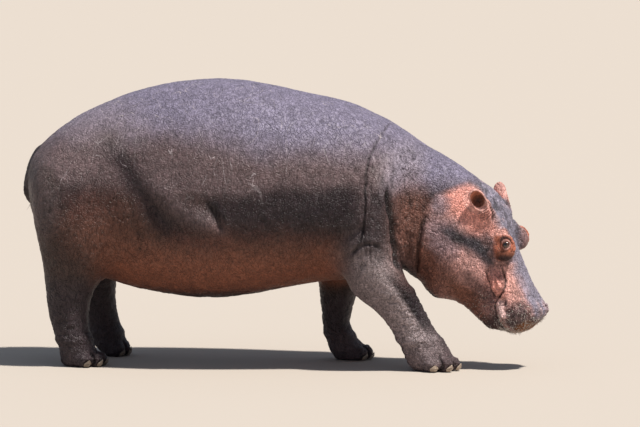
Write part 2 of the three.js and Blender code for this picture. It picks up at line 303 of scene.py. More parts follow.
class Solid:
    """A grid of how full each voxel is, 1 inside and 0 outside, with a ramp at the surface."""

    def __init__(self, nodes, voxel, margin):
        boxes = [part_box(n) for n in nodes]
        low = np.min([b[0] for b in boxes], axis=0) - margin
        high = np.max([b[1] for b in boxes], axis=0) + margin
        self.voxel = voxel
        self.low = np.floor(low / voxel).astype(int)
        self.full = np.zeros(np.ceil(high / voxel).astype(int) - self.low, np.float32)
        self.transform = openvdb.createLinearTransform(voxelSize=voxel)
        for node in nodes:
            self.add(node)
        np.clip(self.full, 0, 1, out=self.full)

    def ramp(self, depth):
        """How full a place is at that depth under the surface."""
        return np.clip(0.5 + depth / (2 * RAMP * self.voxel), 0, 1)

    def add(self, node):
        points, triangles = mesh_arrays(node)
        grid = openvdb.FloatGrid.createLevelSetFromPolygons(
            points, triangles=triangles, transform=self.transform, halfWidth=RAMP + 1
        )
        first, last = (np.array(c) for c in grid.evalActiveVoxelBoundingBox())
        block = np.empty(last - first + 1, np.float32)
        grid.copyToArray(block, ijk=tuple(int(v) for v in first))
        a, b = first - self.low, last - self.low + 1
        self.full[a[0] : b[0], a[1] : b[1], a[2] : b[2]] += self.ramp(-block)

    def places(self):
        """The middles of the grid's voxels along each axis, shaped to spread over it."""
        axes = [(self.low[i] + np.arange(n)) * self.voxel for i, n in enumerate(self.full.shape)]
        return axes[0][:, None, None], axes[1][None, :, None], axes[2][None, None, :]

    def near(self, middle, reach):
        """The part of the grid within reach of a place, as slices, and its voxels' middles."""
        a = np.floor((middle - reach) / self.voxel).astype(int) - self.low
        b = np.ceil((middle + reach) / self.voxel).astype(int) - self.low
        part = tuple(slice(*ends) for ends in zip(a, b, strict=True))
        x, y, z = self.places()
        spread = np.broadcast_arrays(x[part[0]], y[:, part[1]], z[:, :, part[2]])
        return part, np.stack(spread, -1)

    def add_ball(self, middle, axes, size):
        """Fills an ellipsoid, given by its axes and its half sizes along them."""
        part, place = self.near(middle, max(size) + RAMP * self.voxel)
        q = (place - middle) @ np.array(axes).T / np.array(size)
        depth = (1 - np.linalg.norm(q, axis=-1)) * min(size)
        self.full[part] = np.maximum(self.full[part], self.ramp(depth))

    def as_distance(self, full, sigma):
        """Turns fullness after a blur of sigma metres into a distance, below zero inside."""
        ramp = RAMP * self.voxel
        slope = math.erf(ramp / (sigma * math.sqrt(2))) / (2 * ramp)
        return (0.5 - full) / np.float32(slope)

    def quads(self, field):
        """The surface where the field is zero, as points and four-sided faces."""
        band = 3 * self.voxel
        grid = openvdb.FloatGrid(band)
        grid.copyFromArray(np.clip(field, -band, band), ijk=tuple(int(v) for v in self.low))
        grid.transform = self.transform
        grid.gridClass = openvdb.GridClass.LEVEL_SET
        points, quads = grid.convertToQuads(0)
        return points.astype(float), quads[:, ::-1].astype(np.int64)


def spline(t):
    """The four weights of a cubic B-spline and their slopes."""
    s = 1 - t
    weights = (s**3 / 6, (3 * t**3 - 6 * t**2 + 4) / 6, (3 * s**3 - 6 * s**2 + 4) / 6, t**3 / 6)
    slopes = (-(s**2) / 2, (3 * t**2 - 4 * t) / 2, (4 * s - 3 * s**2) / 2, t**2 / 2)
    return weights, slopes


def sampled(field, solid, points):
    """The field and its slope at any points, smooth to the second order."""
    q = points / solid.voxel - solid.low
    cell = np.clip(np.floor(q).astype(np.int64), 1, np.array(field.shape) - 3)
    (wx, sx), (wy, sy), (wz, sz) = (spline(q[:, i] - cell[:, i]) for i in range(3))
    flat = field.ravel()
    strides = np.array(field.strides) // field.itemsize
    value = np.zeros(len(points))
    slope = np.zeros((len(points), 3))
    for i, j in itertools.product(range(4), repeat=2):
        row = (cell + (i - 1, j - 1, -1)) @ strides
        line = np.zeros(len(points))
        tilt = np.zeros(len(points))
        for k in range(4):
            found = flat[row + k * strides[2]]
            line += found * wz[k]
            tilt += found * sz[k]
        across = wx[i] * wy[j]
        value += line * across
        slope[:, 0] += line * sx[i] * wy[j]
        slope[:, 1] += line * wx[i] * sy[j]
        slope[:, 2] += tilt * across
    return value, slope / solid.voxel


def settled(solid, field, points, rounds):
    """Moves points onto the surface, and gives the surface's normals there."""
    for _ in range(rounds):
        value, slope = sampled(field, solid, points)
        steep = np.maximum((slope**2).sum(1), 0.04)
        step = slope * (value / steep)[:, None]
        size = np.linalg.norm(step, axis=1)
        step *= np.minimum(1, solid.voxel / np.maximum(size, TINY))[:, None]
        points = points - step
    slope = sampled(field, solid, points)[1]
    return points, slope / np.maximum(np.linalg.norm(slope, axis=1), TINY)[:, None]


# --- Faces split where the skin needs finer detail ---
EDGE_BASE = 1 << 31  # an edge's code is its lower point's number times this, plus the higher one's


def edge_codes(faces):
    """A number for each edge of each face, the same from both its sides."""
    beyond = np.roll(faces, -1, 1)
    return np.minimum(faces, beyond) * EDGE_BASE + np.maximum(faces, beyond)


def with_middles(quads, mids, pattern):
    """Quads with the middle of each edge put in that the pattern says is cut."""
    corners = []
    for i, is_cut in enumerate(pattern):
        corners.append(quads[:, i])
        if is_cut:
            corners.append(mids[:, i])
    return np.stack(corners, 1)


class Faces:
    """Four-sided faces that can be split in four, and the odd-sided ones that border on a split."""

    def __init__(self, points, quads):
        self.points = points
        self.quads = quads
        self.borders = []  # arrays of faces with more than four corners

    def split(self, wanted):
        """Splits the quads that are wanted, apart from those beside an odd-sided face."""
        codes = edge_codes(self.quads)
        if self.borders:
            held = np.concatenate([edge_codes(b).ravel() for b in self.borders])
            wanted = wanted & ~np.isin(codes, held).any(1)
        cut, back = np.unique(codes[wanted], return_inverse=True)
        ends = np.stack([cut // EDGE_BASE, cut % EDGE_BASE], 1)
        first = len(self.points)
        chosen = self.quads[wanted]
        hubs = first + len(cut) + np.arange(len(chosen))
        added = [self.points[ends].mean(1), self.points[chosen].mean(1)]
        self.points = np.concatenate([self.points, *added])
        mids = first + back.reshape(-1, 4)
        quarters = [np.stack([chosen[:, i], mids[:, i], hubs, mids[:, i - 1]], 1) for i in range(4)]
        others = self.quads[~wanted]
        spot = np.minimum(np.searchsorted(cut, codes[~wanted]), len(cut) - 1)
        touched = cut[spot] == codes[~wanted]
        for pattern in sorted(itertools.product((False, True), repeat=4), key=sum)[1:]:
            same = np.nonzero((touched == pattern).all(1))[0]
            if len(same):
                self.borders.append(with_middles(others[same], first + spot[same], pattern))
        self.quads = np.concatenate([others[~touched.any(1)], *quarters])

    def middles(self):
        return self.points[self.quads].mean(1)


def new_mesh(name, points, *groups):
    """A smooth mesh of faces given in groups, with an equal number of corners in each group."""
    corners = np.concatenate([g.ravel() for g in groups])
    sizes = np.concatenate([np.full(len(g), g.shape[1]) for g in groups])
    mesh = bpy.data.meshes.new(name)
    mesh.vertices.add(len(points))
    mesh.vertices.foreach_set("co", np.asarray(points, np.float32).ravel())
    mesh.loops.add(len(corners))
    mesh.loops.foreach_set("vertex_index", corners.astype(np.int32))
    mesh.polygons.add(len(sizes))
    starts = np.concatenate([[0], np.cumsum(sizes)[:-1]])
    mesh.polygons.foreach_set("loop_start", starts.astype(np.int32))
    mesh.update(calc_edges=True)
    mesh.validate()
    mesh.shade_smooth()
    return mesh


def new_object(name, data):
    thing = bpy.data.objects.new(name, data)
    bpy.context.scene.collection.objects.link(thing)
    return thing


def new_piece(mesh, material):
    """An object of the mesh's name that goes with the animal's one body."""
    mesh.materials.append(material)
    piece = new_object(mesh.name, mesh)
    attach(piece, "root")
    return piece


def set_colour(mesh, name, colours):
    layer = mesh.color_attributes.new(name, "FLOAT_COLOR", "POINT")
    rgba = np.ones((len(colours), 4), np.float32)
    rgba[:, :3] = colours
    layer.data.foreach_set("color", rgba.ravel())


def set_value(mesh, name, values):
    layer = mesh.attributes.new(name, "FLOAT", "POINT")
    layer.data.foreach_set("value", np.asarray(values, np.float32))


# --- Lines drawn on the skin ---
CURVE_STEPS = 6  # pieces between two of a line's places
OUT_OF_REACH = 1e9


def curved(line):
    """A smooth line through the given places."""
    padded = np.concatenate([[2 * line[0] - line[1]], line, [2 * line[-1] - line[-2]]])
    t = np.linspace(0, 1, CURVE_STEPS, endpoint=False)[:, None]
    pieces = []
    for a, b, c, d in zip(padded, padded[1:], padded[2:], padded[3:], strict=False):
        bend = (2 * a - 5 * b + 4 * c - d) * t**2 + (3 * b - a - 3 * c + d) * t**3
        pieces.append(0.5 * (2 * b + (c - a) * t + bend))
    return np.concatenate([*pieces, line[-1:]])


def beside(points, line, reach):
    """How far each point is from a line, and how far along it from 0 to 1.

    A point outside the line's box, widened by reach, counts as out of reach.
    """
    line = np.asarray(line, float)
    inside = ((points > line.min(0) - reach) & (points < line.max(0) + reach)).all(1)
    near_points = points[inside]
    line = curved(line)
    lengths = np.linalg.norm(np.diff(line, axis=0), axis=1)
    starts = np.concatenate([[0], np.cumsum(lengths)])
    best = np.full(len(near_points), OUT_OF_REACH)
    passed = np.zeros(len(near_points))
    for place, step, length, start in zip(line, np.diff(line, axis=0), lengths, starts, strict=False):
        heading = step / length
        rel = near_points - place
        t = np.clip(rel @ heading, 0, length)
        gap = np.sqrt(((rel - t[:, None] * heading) ** 2).sum(1))
        near = gap < best
        best = np.where(near, gap, best)
        passed = np.where(near, start + t, passed)
    gaps = np.full(len(points), OUT_OF_REACH)
    along = np.zeros(len(points))
    gaps[inside] = best
    along[inside] = passed / starts[-1]
    return gaps, along


def groove(points, line, deep, wide, lip=0.0, ends=(0.15, 0.15)):
    """How far a crease along the line pushes the skin out, with a roll of skin on both sides of it.

    The crease fades out over the given share of the line at each end.
    """
    gap, along = beside(points, line, 6 * wide)
    start, end = np.maximum(ends, 1e-3)
    fade = smooth(0, 1, np.clip(along / start, 0, 1) * np.clip((1 - along) / end, 0, 1))
    return (lip * bell(gap - 2.1 * wide, 1.5 * wide) - deep * bell(gap, wide)) * fade


def streak(points, line, reach):
    """1 along a line and 0 well away from it."""
    return bell(beside(points, line, 2.5 * reach)[0], reach)


# --- Folds of the skin ---
# On the body a line is along and up, and on the head it is forward and up in the head's own frame.
# Both sides of the animal have each of them.
FLANK_HOLLOW = [
    (-0.83, 1.12), (-0.745, 1.02), (-0.68, 0.90), (-0.58, 0.775), (-0.43, 0.675), (-0.27, 0.625),
]
FLANK_TONGUE = [(-0.66, 1.00), (-0.56, 0.90), (-0.44, 0.80), (-0.33, 0.735), (-0.26, 0.71)]
ARM_RIDGE = [(0.46, 0.56), (0.615, 0.417), (0.675, 0.244), (0.70, 0.154), (0.78, 0.09)]
ARM_HOLLOW = [(0.24, 0.60), (0.33, 0.65), (0.42, 0.70), (0.50, 0.73)]
LIP_PATCH = [(0.235, -0.118), (0.262, -0.128), (0.30, -0.134)]
NOSTRIL_SLIT = [(0.332, 0.045, 0.022), (0.358, 0.056, 0.022), (0.385, 0.055, 0.016), (0.400, 0.046, 0.006)]
BODY_FOLDS = {
    "flank_edge": dict(
        line=[(-0.33, 0.86), (-0.29, 0.80), (-0.255, 0.745), (-0.235, 0.690)],
        deep=0.012, wide=0.016, lip=0.005, ends=(0.5, 0.2),
    ),
    "shoulder": dict(
        line=[(0.53, 1.20), (0.476, 1.086), (0.457, 0.977), (0.459, 0.80), (0.435, 0.66), (0.386, 0.572)],
        deep=0.007, wide=0.0055, lip=0.003,
    ),
    "neck_base": dict(
        line=[(0.560, 0.92), (0.567, 0.858), (0.582, 0.757), (0.594, 0.658), (0.604, 0.553), (0.634, 0.496)],
        deep=0.022, wide=0.012, lip=0.010,
    ),
    "arm_top": dict(
        line=[(0.30, 0.50), (0.345, 0.56), (0.397, 0.598), (0.466, 0.642), (0.526, 0.626), (0.575, 0.56)],
        deep=0.006, wide=0.009, lip=0.003, ends=(0.4, 0.4),
    ),
    "flank": dict(
        line=[(-0.72, 0.86), (-0.69, 0.74), (-0.66, 0.64), (-0.70, 0.56), (-0.76, 0.51)],
        deep=0.004, wide=0.022, ends=(0.4, 0.3),
    ),
}
POUCH = dict(deep=0.004, wide=0.0035, lip=0.0025)
ALL_ROUND_FOLDS = ("lips", "jowl")  # these go on under the chin, the others stay off the middle
HEAD_FOLDS = {
    "jowl": dict(
        line=[
            (-0.330, -0.190), (-0.305, -0.228), (-0.257, -0.275), (-0.19, -0.334), (-0.13, -0.383),
            (-0.09, -0.44),
        ],
        deep=0.014, wide=0.010, lip=0.005, ends=(0.3, 0.1),
    ),
    "cheek_nick": dict(
        line=[(-0.262, -0.243), (-0.235, -0.225), (-0.206, -0.205)],
        deep=0.004, wide=0.004, ends=(0.4, 0.4),
    ),
    "lips": dict(
        line=[
            (0.205, -0.104), (0.214, -0.132), (0.233, -0.150), (0.268, -0.162), (0.301, -0.168),
            (0.35, -0.175), (0.45, -0.178),
        ],
        deep=0.007, wide=0.0045, lip=0.003, ends=(0.1, 0.0),
    ),
    "mouth_corner_front": dict(
        line=[(0.085, -0.030), (0.134, -0.043), (0.163, -0.053), (0.191, -0.075), (0.206, -0.104)],
        deep=0.009, wide=0.0050, lip=0.004, ends=(0.35, 0.05),
    ),
    "mouth_corner_rear": dict(
        line=[
            (0.050, -0.100), (0.096, -0.115), (0.139, -0.125), (0.171, -0.130), (0.198, -0.125),
            (0.207, -0.104),
        ],
        deep=0.007, wide=0.005, lip=0.003, ends=(0.3, 0.05),
    ),
    "pouch_low": dict(line=[(0.110, -0.099), (0.164, -0.106), (0.196, -0.097)], **POUCH),
    "pouch_middle": dict(line=[(0.110, -0.080), (0.159, -0.086), (0.188, -0.080)], **POUCH),
    "pouch_high": dict(line=[(0.105, -0.063), (0.152, -0.067), (0.176, -0.063)], **POUCH),
    "ear_back": dict(
        line=[(-0.26, 0.088), (-0.21, 0.082), (-0.165, 0.066), (-0.13, 0.040)],
        deep=0.010, wide=0.008, lip=0.004,
    ),
    "under_eye": dict(
        line=[(0.048, -0.060), (0.068, -0.030), (0.078, 0.002), (0.074, 0.034)],
        deep=0.006, wide=0.007,
    ),
}


def lid_folds(past, b):
    """How far the lids' folds stand out, by the degrees past the lids' edge; b is 1 straight down."""
    upper = 0.0010 * bell(past - 7, 4) - 0.0050 * bell(past - 15, 3.4) + 0.0070 * bell(past - 28, 9)
    upper -= 0.0030 * bell(past - 50, 6)
    lower = 0.0008 * bell(past - 7, 4) - 0.0026 * bell(past - 15, 3.5) + 0.0030 * bell(past - 24, 6)
    lower += 0.0040 * bell(past - 48, 9) - 0.0022 * bell(past - 34, 4)
    return smooth(0.45, -0.25, b) * upper + smooth(-0.25, 0.45, b) * lower


def lidded(points, side):
    """Opens the lids over the eye, and folds the skin round them."""
    near = np.nonzero(distance(points, eye_middles[side]) < LID_REACH)[0]
    rel = points[near] - eye_middles[side]
    far = np.linalg.norm(rel, axis=1)
    ahead, a, b = eye_axes(side) @ rel.T
    angle = np.arccos(np.clip(ahead / far, -1, 1))
    size = np.hypot(a, b) + TINY
    a, b = a / size, b / size
    margin = 1 / np.hypot(a / LID_OPEN[0], b / LID_OPEN[1]) + math.radians(5) * a**8
    past = np.degrees(angle - margin)
    lid = -0.006 + 0.0072 * smooth(-8, -3, past) + 0.0040 * smooth(-1.5, 4.0, past)
    back = smooth(3, 34, past)
    target = (EYE_RADIUS + lid) * (1 - back) + far * back + lid_folds(past, b) * smooth(2, 6, past)
    points = points.copy()
    points[near] = eye_middles[side] + rel * (target / far)[:, None]
    return points


def cupped(points, normals, side):
    """Hollows the ear out, and rings its base."""
    length, width, thickness = EAR_SIZE
    a, b, c, off = in_ear(points, side)
    out = ear_frame(side)[1][0]
    front = (normals @ out > 0.05) & (a > -0.5 * thickness) & (off < 1.02)
    floor = -0.013 + 0.024 * smooth(0.10, 0.93, np.hypot(b / width, (c / length + 0.18) / 1.1))
    push = np.minimum(floor - a, 0) * smooth(1.0, 0.94, off) + 0.002 * bell(off - 0.97, 0.05)
    base = EAR_ALONG + c
    rings = 0.0035 * np.sin(base * 2 * math.pi / 0.013)
    rings *= smooth(0.004, 0.02, base) * smooth(0.085, 0.06, base)
    rings *= smooth(0.065, 0.04, np.hypot(a, b)) * (normals @ out > 0)
    return points + out * (push * front + rings)[:, None]


def foot_grooves(points):
    """How far the clefts between the toes and the skin over the nails push the skin."""
    out = np.zeros(len(points))
    low = np.nonzero(points[:, 2] < 0.13)[0]
    flat, z = points[low, :2], points[low, 2]
    for foot_name in FEET:
        foot = middle_of(foot_name)[:2]
        nail = "nail_" + foot_name.replace("foot_", "")
        toes = [middle_of(f"{nail}_{i}")[:2] for i in range(1, 5)]
        for a, b in zip(toes, toes[1:], strict=False):
            spread = (a + b) / 2 - foot
            gap, along = beside(flat, [foot + spread * 0.45, foot + spread * 1.25], 0.06)
            out[low] -= 0.011 * bell(gap, 0.0065) * smooth(0, 0.5, along) * smooth(0.105, 0.05, z)
        for toe in toes:
            heading = unit(toe - foot)
            ahead = (flat - toe) @ heading
            aside = (flat - toe) @ np.array([-heading[1], heading[0]])
            cuticle = bell(np.hypot(aside / 0.030, (z - 0.046) / 0.016) - 1, 0.35)
            out[low] += 0.0030 * cuticle * smooth(-0.05, 0.0, ahead) * (z > 0.04)
    return out


def sideways(normals):
    """1 where the skin faces sideways, and 0 where it faces along or up."""
    return smooth(0.05, 0.35, np.abs(normals[:, 1]))


def swollen(points, normals):
    """How far the broad hollows and swellings push the skin out along its normal."""
    flat = points[:, [0, 2]]
    push = groove(flat, FLANK_HOLLOW, deep=0.014, wide=0.055, ends=(0.45, 0.25))
    push -= groove(flat, FLANK_TONGUE, deep=0.012, wide=0.060, ends=(0.45, 0.10))
    push += groove(flat, ARM_HOLLOW, deep=0.014, wide=0.030, ends=(0.3, 0.3))
    uneven = 0.0030 * noise(points, (0.17, 0.17, 0.12), 14) + 0.0012 * noise(points, 0.055, 13)
    return push * sideways(normals) + uneven


NET_TURN = np.array(Matrix.Rotation(0.7, 3, Vector((0.3, 0.8, 0.5))))


def folded(points, normals):
    """How far the folds, creases and wrinkles push the skin out along its normal."""
    x, z = points[:, 0], points[:, 2]
    flat = points[:, [0, 2]] + 0.006 * drift(points, 0.05, (3, 4))
    push = sum(groove(flat, **fold) for fold in BODY_FOLDS.values()) * sideways(normals)
    # Upright wrinkles where the neck meets the shoulder, and level ones round the elbow, ankles and knees.
    pleated = smooth(0.36, 0.46, x) * smooth(0.78, 0.66, x) * smooth(0.45, 0.6, z) * smooth(1.2, 1.05, z)
    push -= 0.0042 * pleated * cracks(points, (0.022, 0.05, 0.11), 5)
    push -= 0.0022 * pleated * cracks(points, (0.014, 0.03, 0.06), 6)
    ringed = smooth(0.46, 0.36, z) * smooth(0.08, 0.14, z)
    push -= 0.0032 * ringed * cracks(points, (0.07, 0.07, 0.017), 8)
    # The fine net of creases all over.
    net = points @ NET_TURN + 0.012 * drift(points, 0.06, (15, 16, 17))
    push -= 0.0019 * cracks(net, 0.030, 11) + 0.0017 * cracks(net[:, ::-1], (0.030, 0.05, 0.019), 12)
    return push


def head_folded(points):
    """The same on the head: how far the creases push, and how far the broad swellings do."""
    local = one_sided(in_head(points))
    ahead, wide, up = local.T
    flat = local[:, [0, 2]] + 0.002 * drift(points, 0.02, (21, 22))
    outer = smooth(0.03, 0.07, wide)
    push = np.zeros(len(points))
    for name, fold in HEAD_FOLDS.items():
        push += groove(flat, **fold) * (1 if name in ALL_ROUND_FOLDS else outer)
    pouch = np.hypot((flat[:, 0] - 0.145) / 0.075, (flat[:, 1] + 0.088) / 0.046)
    push += 0.004 * smooth(1.3, 0.3, pouch) * outer
    push += groove(local, NOSTRIL_SLIT, deep=0.018, wide=0.0068, lip=0.007, ends=(0.2, 0.2))
    crown = smooth(-0.30, -0.2, ahead) * smooth(0.05, -0.05, ahead) * smooth(0.02, 0.06, up)
    push -= 0.0022 * crown * cracks(points, 0.022, 23)
    muzzle = smooth(0.19, 0.26, ahead)
    push -= muzzle * (0.0014 * cracks(points, 0.012, 24) - 0.0012 * noise(points, 0.009, 25))
    nose = smooth(0.30, 0.40, ahead) * smooth(0.05, -0.07, up) * (points[:, 0] > 0.96)
    lip = bell(beside(flat + (0, 0.006), LIP_PATCH, 0.12)[0], 0.015)
    return push, outer * (0.040 * smooth(1.25, 0.2, pouch) + 0.016 * lip) - 0.028 * nose


def headward(points):
    """True on the head and its neck, and not on the forelegs that stand below them."""
    heights, starts = [0.0, 0.36, 0.42, 0.62, 0.70], [1.0, 0.78, 0.69, 0.66, 0.60]
    return points[:, 0] > np.interp(points[:, 2], heights, starts)


def finer(points):
    """Where the skin needs half-size faces: the head, the feet and the tail."""
    return (points[:, 0] > 0.60) | (points[:, 2] < 0.16) | (points[:, 0] < -1.235)


def finest(points):
    """Where it needs quarter-size faces: the eyes, ears, nostrils and mouth."""
    head = np.nonzero(points[:, 0] > HEAD_FROM)[0]
    near = points[head]
    local = one_sided(in_head(near))
    chosen = beside(local, NOSTRIL_SLIT, 0.035)[0] < 0.035
    for side in SIDES:
        chosen |= distance(near, eye_middles[side]) < 0.075
        chosen |= distance(near, ear_frame(side)[0]) < 0.075
    for name in ("lips", "mouth_corner_front", "mouth_corner_rear", "pouch_middle"):
        chosen |= beside(local[:, [0, 2]], HEAD_FOLDS[name]["line"], 0.022)[0] < 0.022
    wanted = np.zeros(len(points), bool)
    wanted[head] = chosen
    return wanted


def eye_rims(points):
    """Where it needs the smallest faces: the lids' edges."""
    return np.logical_or(*(distance(points, eye_middles[side]) < 0.046 for side in SIDES))


def skin_field(solid):
    """The fullness grid, blurred to suit each part of the animal, as a distance."""
    full, voxel = solid.full, solid.voxel
    half = halved(full)
    x, y, z = solid.places()
    body = unshrunk(halved(half), BODY_BLUR / (4 * voxel))
    body = solid.as_distance(doubled(doubled(body, half.shape), full.shape), BODY_BLUR)
    limb = solid.as_distance(doubled(unshrunk(half, LIMB_BLUR / (2 * voxel)), full.shape), LIMB_BLUR)
    fine = solid.as_distance(blurred(full, FINE_BLUR / voxel), FINE_BLUR)
    head_and_neck = smooth(0.56, 0.70, x)
    legs = smooth(0.44, 0.33, z)
    tail = smooth(-1.17, -1.21, x) * smooth(0.085, 0.06, np.abs(y))
    limbs = np.maximum(np.maximum(head_and_neck, legs), tail)
    field = body + (limb - body) * limbs.astype(np.float32)
    feet = smooth(0.15, 0.10, z).astype(np.float32)
    share = np.zeros(full.shape, np.float32) + feet
    for side in SIDES:
        for middle, reach in ((eye_middles[side], 0.07), (ear_frame(side)[0], 0.10)):
            part, place = solid.near(middle, reach)
            gap = np.linalg.norm(place - middle, axis=-1)
            share[part] = np.maximum(share[part], smooth(reach, reach * 0.7, gap))
    return field + (fine - field) * share


def fill_in(solid):
    """Adds what the CAD's plain shapes leave out: the ears' cups and stalks, brow ridges and eye bags."""
    for side in SIDES:
        middle, (out, across, lean) = ear_frame(side)
        for at, size in ((middle, EAR_SIZE), (on_head(EAR_STALK["middle"], side), EAR_STALK["size"])):
            solid.add_ball(at, (lean, across, out), size)
        solid.add_ball(on_head(BROW_RIDGE["middle"], side), HEAD_AXES, BROW_RIDGE["size"])
        axes = eye_axes(side)
        middle, size = EYE_BAGS[side]
        solid.add_ball(eye_middles[side] + middle @ axes, axes, size)


def make_skin():
    """The skin's faces, which hold its points as they show.

    Then its points before folding, their normals, and how far the creases push them.
    """
    solid = Solid(FLESH + [f"eye_{side}" for side in SIDES], VOXEL, MARGIN)
    fill_in(solid)
    field = skin_field(solid)
    points, quads = solid.quads(field)
    faces = Faces(settled(solid, field, points, 2)[0], quads)
    for needed in (finer, finest, eye_rims):
        faces.split(needed(faces.middles()))
    points, normals = settled(solid, field, faces.points, 2)
    creased = folded(points, normals) + foot_grooves(points)
    broad = swollen(points, normals)
    head = headward(points)
    head_creased, head_broad = head_folded(points[head])
    creased[head] += head_creased
    broad[head] += head_broad
    shown = points + normals * (creased + broad)[:, None]
    for side in SIDES:
        shown = cupped(lidded(shown, side), normals, side)
    lifted = smooth(0.17, 0.07, distance(points, eye_middles["left"]))
    shown += FAR_EYE_LIFT * lifted[:, None]
    shown[shown[:, 2] < SOLE_SNAP, 2] = 0
    faces.points = shown
    return faces, points, normals, creased


# --- Markings ---
ANY = 9.0  # a reach that takes in the whole girth


def spot(points, middle, reach):
    """1 in the middle of an ellipsoid and 0 well outside it."""
    off = np.sqrt((((points - np.array(middle)) / np.array(reach)) ** 2).sum(1))
    return smooth(1.6, 0.4, off)


def painted(colours, coats):
    """Lays coats over the colours, each a tint and how much of it every point takes."""
    for tint, share in coats:
        colours = colours + (np.array(tint) - colours) * share[:, None]
    return colours


def plain(tint, points):
    return np.tile(np.array(tint), (len(points), 1))


# Patches on the head: forward, outward and up in the head's own frame, then the reach, tint and strength.
HEAD_SPOTS = [
    ((-0.13, 0.22, -0.35), (0.20, 0.20, 0.12), TAN, 0.9),
    ((0.13, 0.16, -0.26), (0.16, 0.20, 0.07), TAN, 0.9),
    ((-0.30, 0.20, -0.21), (0.05, 0.12, 0.10), CLAY, 0.7),
    ((-0.31, 0.20, -0.04), (0.085, 0.10, 0.070), ROSE, 0.95),
    ((-0.20, 0.20, -0.035), (0.100, 0.10, 0.045), ROSE, 0.95),
    ((-0.24, 0.16, 0.03), (0.090, 0.08, 0.040), ROSE, 0.8),
    ((-0.11, 0.17, 0.01), (0.045, 0.05, 0.035), ROSE, 0.7),
    ((-0.34, 0.20, -0.13), (0.055, 0.10, 0.045), STEEL, 0.6),
    ((-0.02, 0.20, -0.17), (0.120, 0.12, 0.060), BLUSH, 0.6),
    ((-0.19, 0.22, -0.20), (0.110, 0.14, 0.075), STEEL, 0.45),
    ((0.13, 0.16, -0.175), (0.120, 0.14, 0.035), UMBER, 0.55),
]
# Bands on the head: the line, forward and up, then how wide, the tint and the strength.
HEAD_STREAKS = [
    ([(-0.20, -0.16), (-0.160, -0.137), (-0.120, -0.108), (-0.075, -0.078)], 0.040, GLOOM, 0.95),
    ([(-0.150, -0.135), (-0.110, -0.105), (-0.070, -0.075), (-0.035, -0.060)], 0.030, NIGHT, 0.97),
    ([(-0.07, -0.075), (-0.03, -0.070), (0.015, -0.065), (0.040, -0.056)], 0.038, GLOOM, 0.95),
    ([(-0.10, -0.02), (-0.05, -0.01), (0.0, -0.02)], 0.025, GLOOM, 0.7),
    ([(0.095, -0.012), (0.12, -0.030), (0.17, -0.028), (0.235, -0.042)], 0.036, SALMON, 0.95),
    # The lip patch is pale pink, made paler still as partly painted sunlight.
    (LIP_PATCH, 0.022, PALE, 1.0),
    ([(0.105, -0.076), (0.145, -0.082), (0.185, -0.092)], 0.032, ROSE, 1.0),
]


